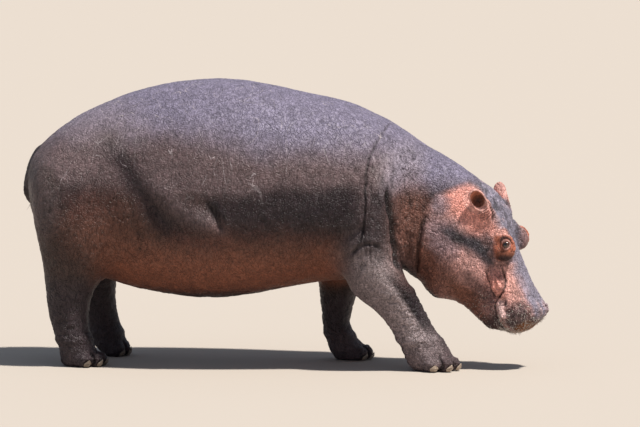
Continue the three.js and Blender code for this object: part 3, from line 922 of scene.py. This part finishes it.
def body_markings(points, normals):
    """Dark along the belly's upper edge, partly painted shade below the sunlit upper flank, and on the legs;
    grey on the back, tinted blue for a painted sky reflection; rusty under the belly, its warmth partly
    painted bounce light from the ground. Painted light and shade also lie on the flank's swellings and
    hollows, the foreleg and the neck.
    """
    x, y, z = points.T
    uneven = 0.5 * noise(points, 0.16, 31) + 0.3 * noise(points, 0.06, 32)
    level = z + 0.04 * uneven
    side = np.stack([x, z + 0.02 * uneven], 1)
    rear = smooth(-1.00, -1.18, x)
    shoulder = smooth(-0.3, 0, x)
    trunk = smooth(-0.98, -0.75, x) * smooth(0.42, 0.25, x)
    colours = painted(plain(BROWN, points), [
        # A dark band up to the flank's widest line, partly painted shade below its sunlit upper half.
        (UMBER, smooth(0.56, 0.70, level) * smooth(-0.45, -0.15, x)),
        (MAUVE, smooth(0.84, 0.93, level - 0.14 * rear - 0.03 * shoulder)),
        # Grey on the back, tinted blue as a painted sky reflection.
        (SLATE, smooth(1.05, 1.29, level + 0.07 * shoulder)),
        # Painted light on the flank's tongue of swollen skin, and painted shade in the hollow in front of
        # the haunch.
        (MAUVE, 0.8 * streak(side, FLANK_TONGUE, 0.060)),
        (UMBER, 0.95 * streak(side, FLANK_HOLLOW, 0.060)),
        # Painted light at the tongue's front end, and painted shade along the fold just ahead of it.
        (ASH, 0.30 * streak(side, [(-0.35, 0.78), (-0.29, 0.73), (-0.26, 0.70)], 0.030)),
        (NIGHT, 0.8 * streak(side, [(-0.28, 0.83), (-0.22, 0.75), (-0.195, 0.69)], 0.034)),
        # Darker below the haunch, partly painted shade, and lighter on its top, partly painted sunlight. The
        # dark patch on the flank behind the shoulder is painted shade.
        (UMBER, 0.75 * spot(points, (-0.93, 0, 0.84), (0.17, ANY, 0.10))),
        (ASH, 0.35 * spot(points, (-0.88, 0, 1.20), (0.22, ANY, 0.12))),
        (NIGHT, 0.60 * spot(points, (0.24, 0, 0.75), (0.22, ANY, 0.12))),
        # Rusty under the belly, its warmth partly painted bounce light from the ground.
        (RUST, 0.88 * smooth(0.78, 0.46, level) * smooth(0.34, 0.42, z) * trunk),
        (RUST, 0.30 * spot(points, (-0.86, 0, 0.70), (0.20, ANY, 0.18))),
        (DUSK, 0.55 * smooth(0.50, 0.36, z) * (1 - trunk * smooth(0.30, 0.36, z))),
    ])
    arm = spot(one_sided(points), (0.60, 0.40, 0.32), (0.26, 0.30, 0.38))
    facing = np.abs(normals[:, 1])
    shin = smooth(0.16, 0.24, z) * smooth(0.54, 0.42, z)
    return painted(colours, [
        # A paler grey on the foreleg's outer side, partly painted sunlight.
        (ASH, 0.80 * arm * smooth(-0.1, 0.4, facing)),
        # A painted highlight along the sunlit ridge of the foreleg.
        (PAINTED_HIGHLIGHT, 0.85 * arm * smooth(0.2, 0.7, facing) * streak(side, ARM_RIDGE, 0.060)),
        (ASH, 0.25 * spot(points, (-1.20, 0, 0.86), (0.12, ANY, 0.20))),
        # A painted shadow of the head on the front of the foreleg.
        (NIGHT, smooth(0.30, 0.55, normals[:, 0]) * arm * shin),
        (MAUVE, 0.5 * smooth(0.20, 0.08, z) * smooth(0.1, 0.3, x)),
        (UMBER, 0.9 * smooth(-1.20, -1.24, x) * smooth(0.09, 0.06, np.abs(y))),
        # The neck's top in the same grey, with its painted sky reflection.
        (SLATE, smooth(0.50, 0.62, x) * smooth(0.86, 0.98, level)),
        # A painted sheen highlight on the neck.
        (PAINTED_HIGHLIGHT, 0.30 * spot(points, (0.62, 0, 1.00), (0.10, ANY, 0.12))),
        (CLAY, 0.9 * spot(points, (0.67, 0, 0.70), (0.10, ANY, 0.22))),
        (MAUVE, 0.6 * streak(side, [(0.45, 0.95), (0.46, 0.80), (0.46, 0.74)], 0.04)),
        # Painted shade in the creases at the neck's base and along the shoulder.
        (NIGHT, 0.8 * streak(side, BODY_FOLDS["neck_base"]["line"], 0.012)),
        (UMBER, 0.55 * streak(side, BODY_FOLDS["shoulder"]["line"], 0.007)),
        # Painted shade above the foreleg, at the shoulder.
        (UMBER, 0.70 * spot(points, (0.50, 0, 0.68), (0.07, ANY, 0.11))),
    ])


def head_markings(points, normals):
    """Pink cheeks with dark bands behind the eye, a steel-grey crest with painted highlights at its rear,
    and a mauve muzzle with painted shade in the mouth's creases and the nostrils.
    """
    local = one_sided(in_head(points))
    ahead, wide, up = local.T
    flat = local[:, [0, 2]]
    uneven = noise(points, 0.045, 33) + 0.6 * noise(points, 0.018, 34)
    place = local + 0.012 * uneven[:, None]
    outline = place[:, [0, 2]]
    ear_side = 0.028 * bell(ahead + 0.19, 0.09)
    crest = smooth(0.10, 0.55, normals @ head_up + 0.12 * uneven)
    crest *= smooth(0.135, 0.085, wide - ear_side + 0.01 * uneven)
    rear_crest = crest * smooth(0.1, -0.05, ahead)
    outer = smooth(0.03, 0.08, wide)
    pad = smooth(0.26, 0.30, ahead + 0.01 * uneven) * smooth(-0.165, -0.14, up) * smooth(0.01, -0.03, up)
    pad *= 1 - streak(outline, LIP_PATCH, 0.026)
    front = streak(flat, HEAD_FOLDS["mouth_corner_front"]["line"], 0.006)
    rear = streak(flat, HEAD_FOLDS["mouth_corner_rear"]["line"], 0.005)
    spots = [(tint, strength * spot(place, middle, reach)) for middle, reach, tint, strength in HEAD_SPOTS]
    bands = [
        (tint, strength * streak(outline, line, reach) * outer)
        for line, reach, tint, strength in HEAD_STREAKS
    ]
    colours = painted(plain(BLUSH, points), [
        *spots,
        (STEEL, 0.95 * crest),
        (GLOOM, 0.60 * rear_crest * smooth(-0.1, 0.8, uneven)),
        # Pale spots on the crest's rear: painted highlights.
        (PALE, 0.35 * rear_crest * smooth(0.3, 1.2, -uneven)),
        *bands,
        (UMBER, 0.9 * smooth(-0.150, -0.175, up) * smooth(0.22, 0.30, ahead)),
        (MAUVE, 0.9 * pad),
        (UMBER, 0.55 * pad * smooth(-0.9, 0.3, uneven)),
        (OCHRE, 0.85 * smooth(0.365, 0.40, ahead) * smooth(0.0, -0.05, up) * smooth(-0.16, -0.12, up)),
        (NIGHT, 0.9 * spot(place, (0.253, 0.146, -0.087), (0.018, 0.03, 0.015))),
        (PALE, 0.5 * streak(local, NOSTRIL_SLIT, 0.022)),
        # Painted shade inside the nostril slits.
        (NIGHT, 0.95 * streak(local, NOSTRIL_SLIT, 0.008)),
        # Painted shade in the creases of the lips and the mouth's corners.
        (UMBER, 0.4 * streak(flat, HEAD_FOLDS["lips"]["line"], 0.005)),
        (UMBER, (0.75 * front + 0.35 * rear) * (wide > 0.06)),
    ])
    for side in SIDES:
        colours = eye_markings(colours, points, uneven, side)
    return colours


def eye_markings(colours, points, uneven, side):
    """A red bump round the eye, lighter above as painted light and darker below as painted shadow, with a
    dark crease over the upper lid as painted shade.
    """
    rel = points - eye_middles[side]
    far = np.linalg.norm(rel, axis=1)
    ahead, level, drop = eye_axes(side) @ rel.T
    facing = ahead / np.maximum(far, TINY)
    behind = smooth(1.35, 1.10, np.hypot(level / 0.060, drop / 0.084)) * smooth(0.0, -0.3, facing)
    off = np.hypot((level + 0.012) / 0.060, (drop - 0.003) / 0.084)
    bump = smooth(1.22, 0.80, off + 0.03 * uneven) * smooth(-0.45, -0.15, facing)
    turn = np.degrees(np.arccos(np.clip(facing, -1, 1)))
    over = smooth(0.1, -0.25, drop / np.maximum(np.hypot(level, drop), TINY))
    return painted(colours, [
        (GLOOM, 0.6 * behind * smooth(0.12, 0.09, far)),
        (EMBER, 0.95 * bump),
        # Lighter on the bump's top as painted light, and darker towards its bottom as painted shadow.
        (SALMON, 0.9 * bump * smooth(-0.036, -0.054, drop)),
        (RUST, 0.8 * bump * smooth(0.026, 0.044, drop)),
        (NIGHT, 0.9 * bump * smooth(0.046, 0.062, drop)),
        (PALE, 0.35 * smooth(62, 55, turn) * (far < 0.045)),
        # Painted shade in the crease over the upper lid.
        (NIGHT, 0.9 * bell(turn - 66, 4.5) * over * (far < 0.06)),
    ])


def ear_markings(colours, points, shown, side):
    """Salmon outside and red in the cup, lighter towards its tip as painted light, and darkest a little
    below its middle as painted shade of its depth.
    """
    middle, (out, _, _) = ear_frame(side)
    ear = smooth(0.085, 0.070, distance(points, middle))
    depth, across, along, off = in_ear(shown, side)
    inside = ear * smooth(0.84, 0.70, off) * (depth > -0.02) * ((points - middle) @ out > -0.004)
    rise = along / EAR_SIZE[0]
    return painted(colours, [
        (SALMON, 0.9 * ear),
        (EAR_RED, inside),
        # Painted light towards the cup's tip, and painted shade of its depth a little below its middle.
        (EMBER, inside * smooth(0.05, 0.6, rise)),
        (NIGHT, 0.7 * inside * bell(rise + 0.25, 0.30) * bell(across / EAR_SIZE[1], 0.5)),
    ])


def pebbliness(points):
    """1 where the hide is rough with pebbles: the forelegs, neck and cheeks. 0 on the lids and ears."""
    x, z = points[:, 0], points[:, 2]
    rough = np.clip(0.35 + smooth(0.62, 0.45, z) * (x > 0.35) + 0.5 * smooth(0.5, 0.66, x), 0, 1)
    for side in SIDES:
        rough *= smooth(0.055, 0.080, distance(points, eye_middles[side]))
        rough *= smooth(0.060, 0.085, distance(points, ear_frame(side)[0]))
    return rough


def dryness(points):
    """1 on the back and upper sides, where scratches show pale."""
    return smooth(0.80, 1.0, points[:, 2]) * smooth(0.62, 0.5, points[:, 0])


def past_jowl(local):
    """How far each place is ahead of the line where the head's colours begin."""
    ups = [-0.45, -0.38, -0.30, -0.21, -0.13, 0.0, 0.10]
    starts = [-0.09, -0.13, -0.22, -0.32, -0.37, -0.36, -0.33]
    return local[:, 0] - np.interp(local[:, 2], ups, starts)


def markings(points, normals, shown, creased):
    """The hide's colour at each point, with painted shade in the creases."""
    colours = body_markings(points, normals)
    share = smooth(-0.035, 0.02, past_jowl(in_head(points))) * headward(points)
    head = np.nonzero(share > 0)[0]
    colours[head] += (head_markings(points[head], normals[head]) - colours[head]) * share[head, None]
    for side in SIDES:
        colours[head] = ear_markings(colours[head], points[head], shown[head], side)
    mottle_and_crease_shade = 1 + 0.10 * noise(points, 0.011, 41) + 0.10 * noise(points, 0.028, 42)
    # Darker where the creases press the skin in: painted shade.
    mottle_and_crease_shade *= 1 - 0.55 * smooth(0.001, 0.009, -creased)
    return np.clip(colours * mottle_and_crease_shade[:, None], 0.004, 1)


# --- Materials ---
class Nodes:
    """A material's nodes, with a shorter way to add and join them."""

    def __init__(self, name, roughness):
        self.material = bpy.data.materials.new(name)
        self.material.use_nodes = True
        self.tree = self.material.node_tree
        self.shader = self.tree.nodes["Principled BSDF"]
        self.shader.inputs["Roughness"].default_value = roughness

    def put(self, socket, value):
        """Joins a socket to another, or sets it to a plain value."""
        if isinstance(value, bpy.types.NodeSocket):
            self.tree.links.new(value, socket)
        else:
            socket.default_value = value

    def add(self, kind, inputs=None, **settings):
        node = self.tree.nodes.new("ShaderNode" + kind)
        for key, value in settings.items():
            setattr(node, key, value)
        for key, value in (inputs or {}).items():
            self.put(node.inputs[key], value)
        return node

    def give(self, **sockets):
        for key, value in sockets.items():
            self.put(self.shader.inputs[key.replace("_", " ")], value)

    def attribute(self, name, output="Fac"):
        return self.add("Attribute", attribute_name=name).outputs[output]

    def place(self):
        return self.add("TexCoord").outputs["Object"]

    def mixed(self, share, first, second, blend="MIX"):
        inputs = {0: share, 6: first, 7: second}
        return self.add("Mix", inputs, data_type="RGBA", blend_type=blend).outputs[2]

    def darkened(self, colour, shade):
        grey = self.add("CombineColor", {0: shade, 1: shade, 2: shade}).outputs[0]
        return self.mixed(1.0, colour, grey, "MULTIPLY")

    def math(self, operation, first, *others):
        """The operation on two values, or on a row of them one after another."""
        for value in others:
            first = self.add("Math", {0: first, 1: value}, operation=operation).outputs[0]
        return first

    def sum(self, *terms):
        """Adds values, each of them given with its weight."""
        return self.math("ADD", *(self.math("MULTIPLY", value, weight) for value, weight in terms))

    def off_middle(self, value):
        """How far a noise is from its middle."""
        level = self.math("SUBTRACT", value, 0.5)
        return self.add("Math", {0: level}, operation="ABSOLUTE").outputs[0]

    def moved(self, place, **inputs):
        return self.add("Mapping", {"Vector": place, **inputs}).outputs[0]

    def noise(self, place, scale, detail=4.0, roughness=0.6):
        inputs = {"Vector": place, "Scale": scale, "Detail": detail, "Roughness": roughness}
        return self.add("TexNoise", inputs).outputs[0]

    def ranged(self, value, low, high, to_low=0.0, to_high=1.0):
        inputs = {"Value": value, "From Min": low, "From Max": high, "To Min": to_low, "To Max": to_high}
        return self.add("MapRange", inputs, interpolation_type="SMOOTHSTEP").outputs[0]

    def bump(self, height, distance, strength):
        inputs = {"Height": height, "Distance": distance, "Strength": strength}
        return self.add("Bump", inputs).outputs[0]


def hide_material():
    n = Nodes("hide", 0.5)
    place = n.place()
    pebbly = n.attribute("pebbly")
    drift = n.add("TexNoise", {"Vector": place, "Scale": 9.0, "Detail": 2.0}).outputs["Color"]
    wander = n.add("VectorMath", {0: drift, "Scale": 0.09}, operation="SCALE").outputs[0]
    bent = n.add("VectorMath", {0: place, 1: wander}, operation="ADD").outputs[0]
    cells = n.add("TexVoronoi", {"Vector": bent, "Scale": 150.0}, feature="SMOOTH_F1").outputs["Distance"]
    plates = n.ranged(cells, 0.15, 0.62, 1.0, 0.0)
    grain = n.noise(place, 260.0, 3.0, 0.65)
    pebbles = n.noise(place, 115.0, 2.0, 0.7)
    pleats = n.noise(n.moved(bent, Scale=(62, 62, 24)), 1.0, 3.0)
    coarse = crease_lines(n, place, 0.5, (42, 42, 13))
    creases = n.math("ADD", coarse, crease_lines(n, place, -0.8, (54, 54, 17)))
    speckle = n.math("SUBTRACT", n.ranged(pebbles, 0.40, 0.60, 0.70, 1.22), 1.0)
    shade = n.math(
        "MULTIPLY",
        n.ranged(plates, 0.0, 0.7, 0.90, 1.03),
        n.ranged(grain, 0.3, 0.7, 0.92, 1.08),
        n.ranged(pleats, 0.36, 0.62, 0.90, 1.06),
        n.math("ADD", n.math("MULTIPLY", speckle, pebbly), 1.0),
        n.ranged(n.noise(place, 20.0, 4.0), 0.3, 0.7, 0.86, 1.14),
        # Darker along the crease lines: painted shade.
        n.ranged(creases, 0.0, 1.2, 1.02, 0.88),
    )
    scratches = n.math("MULTIPLY", scratch_lines(n, place), n.attribute("dry"))
    tint = n.darkened(n.attribute("tint", "Color"), shade)
    colour = n.mixed(n.math("MULTIPLY", scratches, 0.58), tint, (*SCRATCH, 1))
    height = n.sum((plates, n.ranged(pebbly, 0.0, 0.5, 0.15, 0.8)), (grain, 0.28), (pleats, 1.0))
    height = n.math("SUBTRACT", height, n.math("MULTIPLY", creases, 0.9))
    height = n.math("ADD", height, n.math("MULTIPLY", pebbles, n.math("MULTIPLY", pebbly, 1.4)))
    n.give(
        Base_Color=colour,
        Roughness=n.ranged(grain, 0.3, 0.7, 0.42, 0.58),
        Specular_IOR_Level=0.40,
        Normal=n.bump(height, 0.0032, 0.90),
    )
    return n.material


def crease_lines(n, place, turn, scale):
    """Where a drawn-out noise crosses its middle: thin wandering lines, 1 in the crease, 0 between."""
    turned = n.moved(place, Rotation=(0.3, turn, 0.2), Scale=scale)
    return n.ranged(n.off_middle(n.noise(turned, 1.0, 2.0, 0.5)), 0.0, 0.035, 1.0, 0.0)


# Four sets of old scars: how drawn out each is, its slant, and a number that tells it from the others.
SCARS = [((9, 9, 0.7), 0.35, 0), ((10, 10, 0.8), -0.6, 3), ((8, 8, 0.8), 1.0, 7), ((9, 9, 0.6), -0.1, 5)]


def scratch_lines(n, place):
    """Old scars: thin lines of a slow drawn-out noise, broken into strokes."""
    strokes = []
    for scale, slant, seed in SCARS:
        turned = n.moved(place, Location=(seed, seed, 0), Rotation=(0.1, slant, 0), Scale=scale)
        line = n.ranged(n.off_middle(n.noise(turned, 1.0, 0.0)), 0.0015, 0.005, 1.0, 0.0)
        gaps = n.ranged(n.noise(place, 5.0 + seed, 1.0), 0.54, 0.60)
        strokes.append(n.math("MULTIPLY", line, gaps))
    return n.math("MAXIMUM", *strokes)


def eye_material():
    n = Nodes("eye", 0.12)
    n.give(Base_Color=n.attribute("tint", "Color"), Coat_Weight=1.0, Coat_Roughness=0.03)
    return n.material


def nail_material():
    """Horn in fine bands, stained, and duller on the hind feet."""
    n = Nodes("toenail", 0.42)
    place = n.place()
    bands = n.noise(n.moved(place, Scale=(40, 40, 220)), 1.0, 3.0)
    ramp = n.add("ValToRGB", {0: n.sum((bands, 0.5), (n.noise(place, 60.0, 4.0), 0.5))})
    ends = ((0.34, (0.13, 0.085, 0.065, 1)), (0.62, (0.50, 0.40, 0.31, 1)))
    for element, (position, colour) in zip(ramp.color_ramp.elements, ends, strict=True):
        element.position = position
        element.color = colour
    ahead = n.ranged(n.add("SeparateXYZ", {0: place}).outputs[0], -0.6, 0.2, 0.45, 1.0)
    n.give(Base_Color=n.darkened(ramp.outputs[0], ahead), Normal=n.bump(bands, 0.0012, 0.6))
    return n.material


def bristle_material():
    n = Nodes("bristle", 0.45)
    n.give(Base_Color=n.attribute("tint", "Color"))
    return n.material


# --- Eyes and toenails ---
EYE_RINGS, EYE_AROUND = 59, 72


def eyeball(side):
    """The points and faces of a ball with the cornea standing out of it, looking out through the lids."""
    look, across, down = eye_axes(side)
    angle = np.linspace(0, math.pi, EYE_RINGS + 2)[1:-1, None, None]
    spin = np.linspace(0, 2 * math.pi, EYE_AROUND, endpoint=False)
    ring = np.cos(spin)[:, None] * across + np.sin(spin)[:, None] * down
    cornea = 0.0026 * smooth(math.radians(46), math.radians(20), angle)
    points = (np.cos(angle) * look + np.sin(angle) * ring) * (EYE_RADIUS - 0.0004 + cornea)
    ends = np.array([look * (EYE_RADIUS + 0.0022), -look * EYE_RADIUS])
    rows = np.arange(EYE_RINGS * EYE_AROUND).reshape(EYE_RINGS, EYE_AROUND)
    front, back = np.full(EYE_AROUND, rows.size), np.full(EYE_AROUND, rows.size + 1)
    low, high = rows[:-1], rows[1:]
    quads = np.stack([low, high, np.roll(high, -1, 1), np.roll(low, -1, 1)], -1).reshape(-1, 4)
    first, last = rows[0], rows[-1]
    caps = np.concatenate([
        np.stack([front, first, np.roll(first, -1)], 1),
        np.stack([back, np.roll(last, -1), last], 1),
    ])
    turn = -SIDES[side]  # the left eye is a mirror image, so its faces go the other way round
    return np.concatenate([points.reshape(-1, 3), ends]), quads[:, ::turn], caps[:, ::turn]


def add_eye(side, material):
    points, quads, caps = eyeball(side)
    points += eye_middles[side]
    if side == "left":
        points += FAR_EYE_LIFT
    mesh = new_mesh(f"eyeball_{side}", points, quads, caps)
    rel = points - eye_middles[side]
    ahead, level, drop = eye_axes(side) @ rel.T
    turn = np.degrees(np.arccos(np.clip(ahead / np.linalg.norm(rel, axis=1), -1, 1)))
    around = np.stack([turn * 0.02, np.arctan2(drop, level), 0 * turn], 1)
    fibres = noise(around, (1, 0.09, 1), 51)
    set_colour(mesh, "tint", painted(plain(EYE_WHITE, points), [
        (IRIS, smooth(52, 48, turn)),
        (IRIS_LIGHT, 0.6 * smooth(44, 30, turn) * smooth(-0.3, 0.8, fibres)),
        (PUPIL, smooth(21, 18, turn)),
    ]))
    eye = new_piece(mesh, material)
    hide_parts(f"eye_{side}")


def add_nail(node, material):
    """The toenail's own solid with its edges worn round."""
    solid = Solid([node], NAIL_VOXEL, NAIL_MARGIN)
    field = solid.as_distance(blurred(solid.full, NAIL_BLUR), NAIL_BLUR * solid.voxel)
    points, quads = solid.quads(field)
    points, normals = settled(solid, field, points, 1)
    points += normals * (0.0004 * noise(points, (0.02, 0.02, 0.004), 61))[:, None]
    nail = new_piece(new_mesh(node.replace("nail_", "toenail_"), points, quads), material)
    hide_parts(node)


# --- Bristles ---
PATCH = 0.003  # how wide each tuft's patch is in the bake map
TUFT_LEVELS = np.array([0, 0.3, 0.6, 0.85, 1.0])
TUFT_WIDTHS = np.array([1.0, 0.9, 0.7, 0.42, 0.10])
TUFT_SIDES = 3
TUFT_POINTS = TUFT_SIDES * len(TUFT_LEVELS)
TUFT_ROOT = 0.002  # how deep a tuft stands in the skin
# How far each kind of tuft rises from the skin as it leans, then its length and width.
MUZZLE_TUFT = (0.5, 0.014, 0.0025)
LIP_TUFT = (0.5, 0.011, 0.0025)
EAR_TUFT = (0.6, 0.009, 0.0011)
TAIL_TUFT = (0.3, 0.035, 0.0016)
LEAST_GROWTH = 1e-12  # so that every place could be picked
FACE_FROM = 0.9  # along the animal: the muzzle is ahead of this
FACE_LENGTH = 1.1  # of the head where its skin is rolled out flat in the bake map
TAIL_LENGTH = 0.1


def muzzle_growth(local):
    ahead, wide, up = one_sided(local).T
    pad = smooth(0.24, 0.29, ahead) * smooth(0.005, -0.025, up) * smooth(-0.18, -0.14, up)
    return pad * (1 - 0.9 * streak(local[:, [0, 2]], LIP_PATCH, 0.022)) * smooth(0.02, 0.05, wide)


def lip_growth(local):
    ahead, up = local[:, 0], local[:, 2]
    return smooth(0.11, 0.18, ahead) * smooth(-0.140, -0.160, up) * smooth(-0.30, -0.24, up)


def tufts(roots, headings, bends, lengths, widths, rng):
    """Three-sided tapering tufts, one after another: their points, side faces and tips."""
    level = TUFT_LEVELS[:, None]
    reach = (level * headings[:, None] + level**2 * bends[:, None]) * lengths[:, None, None]
    spine = roots[:, None] + reach
    aside = np.cross(headings, rng.normal(size=headings.shape))
    aside /= np.linalg.norm(aside, axis=1)[:, None]
    other = np.cross(headings, aside)
    corners = []
    for turn in np.arange(TUFT_SIDES) * 2 * math.pi / TUFT_SIDES:
        off = math.cos(turn) * aside + math.sin(turn) * other
        corners.append(spine + off[:, None] * (widths[:, None] * TUFT_WIDTHS)[..., None] / 2)
    points = np.stack(corners, 2).reshape(-1, 3)
    number = np.arange(len(points)).reshape(-1, len(TUFT_LEVELS), TUFT_SIDES)
    low, high = number[:, :-1], number[:, 1:]
    faces = np.stack([low, np.roll(low, -1, 2), np.roll(high, -1, 2), high], -1)
    return points, faces.reshape(-1, 4), number[:, -1]


def set_bake_map(mesh, unwrap):
    """Lays each tuft out on a small patch at its root's place in the map."""
    around = np.tile(np.arange(TUFT_SIDES) / TUFT_SIDES, len(TUFT_LEVELS))
    along = np.repeat(np.linspace(0, 1, len(TUFT_LEVELS)), TUFT_SIDES)
    places = (unwrap[:, None] + np.stack([around, along], 1) * PATCH).reshape(-1, 2)
    corners = np.empty(len(mesh.loops), np.int32)
    mesh.loops.foreach_get("vertex_index", corners)
    layer = mesh.uv_layers.new(name="OFBake")
    layer.uv.foreach_set("vector", places[corners].astype(np.float32).ravel())


def add_bristles(name, roots, normals, flow, tuft, unwrap, tint, material, seed):
    """A coat piece of short stiff tufts that lean with the flow and rise from the skin."""
    rng = np.random.default_rng(seed)
    count = len(roots)
    rise, length, width = tuft
    headings = flow + 0.55 * rng.normal(size=(count, 3))
    headings += (rise - (headings * normals).sum(1))[:, None] * normals
    headings /= np.linalg.norm(headings, axis=1)[:, None]
    bends = 0.35 * rng.normal(size=(count, 3)) - 0.30 * normals
    lengths = length * rng.uniform(0.5, 1.3, count)
    widths = width * rng.uniform(0.7, 1.2, count)
    mesh = new_mesh(name, *tufts(roots - TUFT_ROOT * normals, headings, bends, lengths, widths, rng))
    shade = np.repeat(rng.uniform(0.55, 1.1, count), TUFT_POINTS)
    set_colour(mesh, "tint", np.clip(shade[:, None] * np.array(tint), 0, 1))
    set_bake_map(mesh, unwrap)
    new_piece(mesh, material)


def laid_out(around, along):
    """Places in the bake map, by an angle and a share of the length."""
    return 0.01 + 0.97 * np.stack([around / (2 * math.pi) + 0.5, np.clip(along, 0, 1)], 1)


def rolled_out(local):
    """Where places round the head's long axis lie when its skin is rolled out flat."""
    return laid_out(np.arctan2(local[:, 1], local[:, 2]), (local[:, 0] + 0.6) / FACE_LENGTH)


def grown(growth, count, seed):
    """Picks places on the skin, more of them where the growth is thick."""
    rng = np.random.default_rng(seed)
    return rng.choice(len(growth), count, replace=False, p=growth / growth.sum())


def add_face_bristles(points, normals, material):
    near = np.nonzero(points[:, 0] > FACE_FROM)[0]
    local = in_head(points[near])
    flow = 0.5 * head_forward - 0.25 * head_up
    for name, growth, count, tuft, seed in (
        ("muzzle_bristles", muzzle_growth, 1000, MUZZLE_TUFT, 71),
        ("lip_bristles", lip_growth, 900, LIP_TUFT, 72),
    ):
        picked = grown(growth(local), count, seed)
        at, unwrap = near[picked], rolled_out(local[picked])
        add_bristles(name, points[at], normals[at], flow, tuft, unwrap, BRISTLE, material, seed)


def add_ear_bristles(points, normals, material):
    for side in SIDES:
        middle, (_, _, lean) = ear_frame(side)
        out, _, _, off = in_ear(points, side)
        rim = bell(off - 0.98, 0.04) * (out > 0) * (distance(points, middle) < 0.075)
        at = grown(rim + LEAST_GROWTH, 90, 73)
        name, unwrap = f"ear_bristles_{side}", rolled_out(in_head(points[at]))
        add_bristles(name, points[at], normals[at], lean, EAR_TUFT, unwrap, BRISTLE, material, 74)


def add_tail_bristles(points, normals, material):
    low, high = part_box("tail")
    tip = np.array([(low[0] + high[0]) / 2, 0, low[2]])
    at = grown(smooth(0.055, 0.02, distance(points, tip)) + LEAST_GROWTH, 90, 75)
    rel = points[at] - tip
    unwrap = laid_out(np.arctan2(rel[:, 1], rel[:, 0]), rel[:, 2] / TAIL_LENGTH + 0.5)
    flow = np.array([-0.1, 0, -1.2])
    name = "tail_bristles"
    add_bristles(name, points[at], normals[at], flow, TAIL_TUFT, unwrap, DARK_BRISTLE, material, 76)


# --- The scene ---
def add_camera():
    data = bpy.data.cameras.new("camera")
    data.lens = data.sensor_width * VIEW_DISTANCE / VIEW_WIDTH
    data.clip_end = 1000
    camera = new_object("camera", data)
    turn, rise = VIEW_TURN, VIEW_RISE
    right = Vector((math.cos(turn), math.sin(turn), 0))
    back = Vector((math.sin(turn) * math.cos(rise), -math.cos(turn) * math.cos(rise), math.sin(rise)))
    up = back.cross(right)
    camera.location = right * VIEW_MIDDLE[0] + up * VIEW_MIDDLE[1] + back * VIEW_DISTANCE
    camera.rotation_mode = "QUATERNION"
    camera.rotation_quaternion = (-back).to_track_quat("-Z", "Y")
    bpy.context.scene.camera = camera


def add_sky():
    bpy.context.scene.view_settings.view_transform = "Standard"
    world = bpy.data.worlds.new("world")
    world.use_nodes = True
    background = world.node_tree.nodes["Background"]
    background.inputs["Color"].default_value = SKY
    background.inputs["Strength"].default_value = SKY_POWER
    bpy.context.scene.world = world


def add_sun():
    data = bpy.data.lights.new("key", "SUN")
    data.energy = SUN_POWER
    data.angle = SUN_SPREAD
    data.color = SUN
    sun = new_object("key", data)
    sun.rotation_mode = "QUATERNION"
    sun.rotation_quaternion = Vector(SUN_FROM).to_track_quat("Z", "Y")


def add_floor():
    bpy.ops.mesh.primitive_plane_add(size=600)
    floor = bpy.context.object
    floor.name = "floor"
    n = Nodes("floor", 0.9)
    n.give(Base_Color=FLOOR)
    floor.data.materials.append(n.material)


def add_skin():
    """The whole hide as one piece. Gives its points and normals, for the bristles to stand on."""
    faces, points, normals, creased = make_skin()
    shown = faces.points
    mesh = new_mesh("skin", shown, faces.quads, *faces.borders)
    set_colour(mesh, "tint", markings(points, normals, shown, creased))
    set_value(mesh, "dry", dryness(points))
    set_value(mesh, "pebbly", pebbliness(points))
    skin = new_piece(mesh, hide_material())
    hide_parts(*FLESH)
    return shown, normals


add_camera()
add_sky()
add_sun()
add_floor()
skin_points, skin_normals = add_skin()
eye_look = eye_material()
for eye_side in SIDES:
    add_eye(eye_side, eye_look)
nail_look = nail_material()
for nail_node in NAILS:
    add_nail(nail_node, nail_look)
bristle_look = bristle_material()
for add_tufts in (add_face_bristles, add_ear_bristles, add_tail_bristles):
    add_tufts(skin_points, skin_normals, bristle_look)
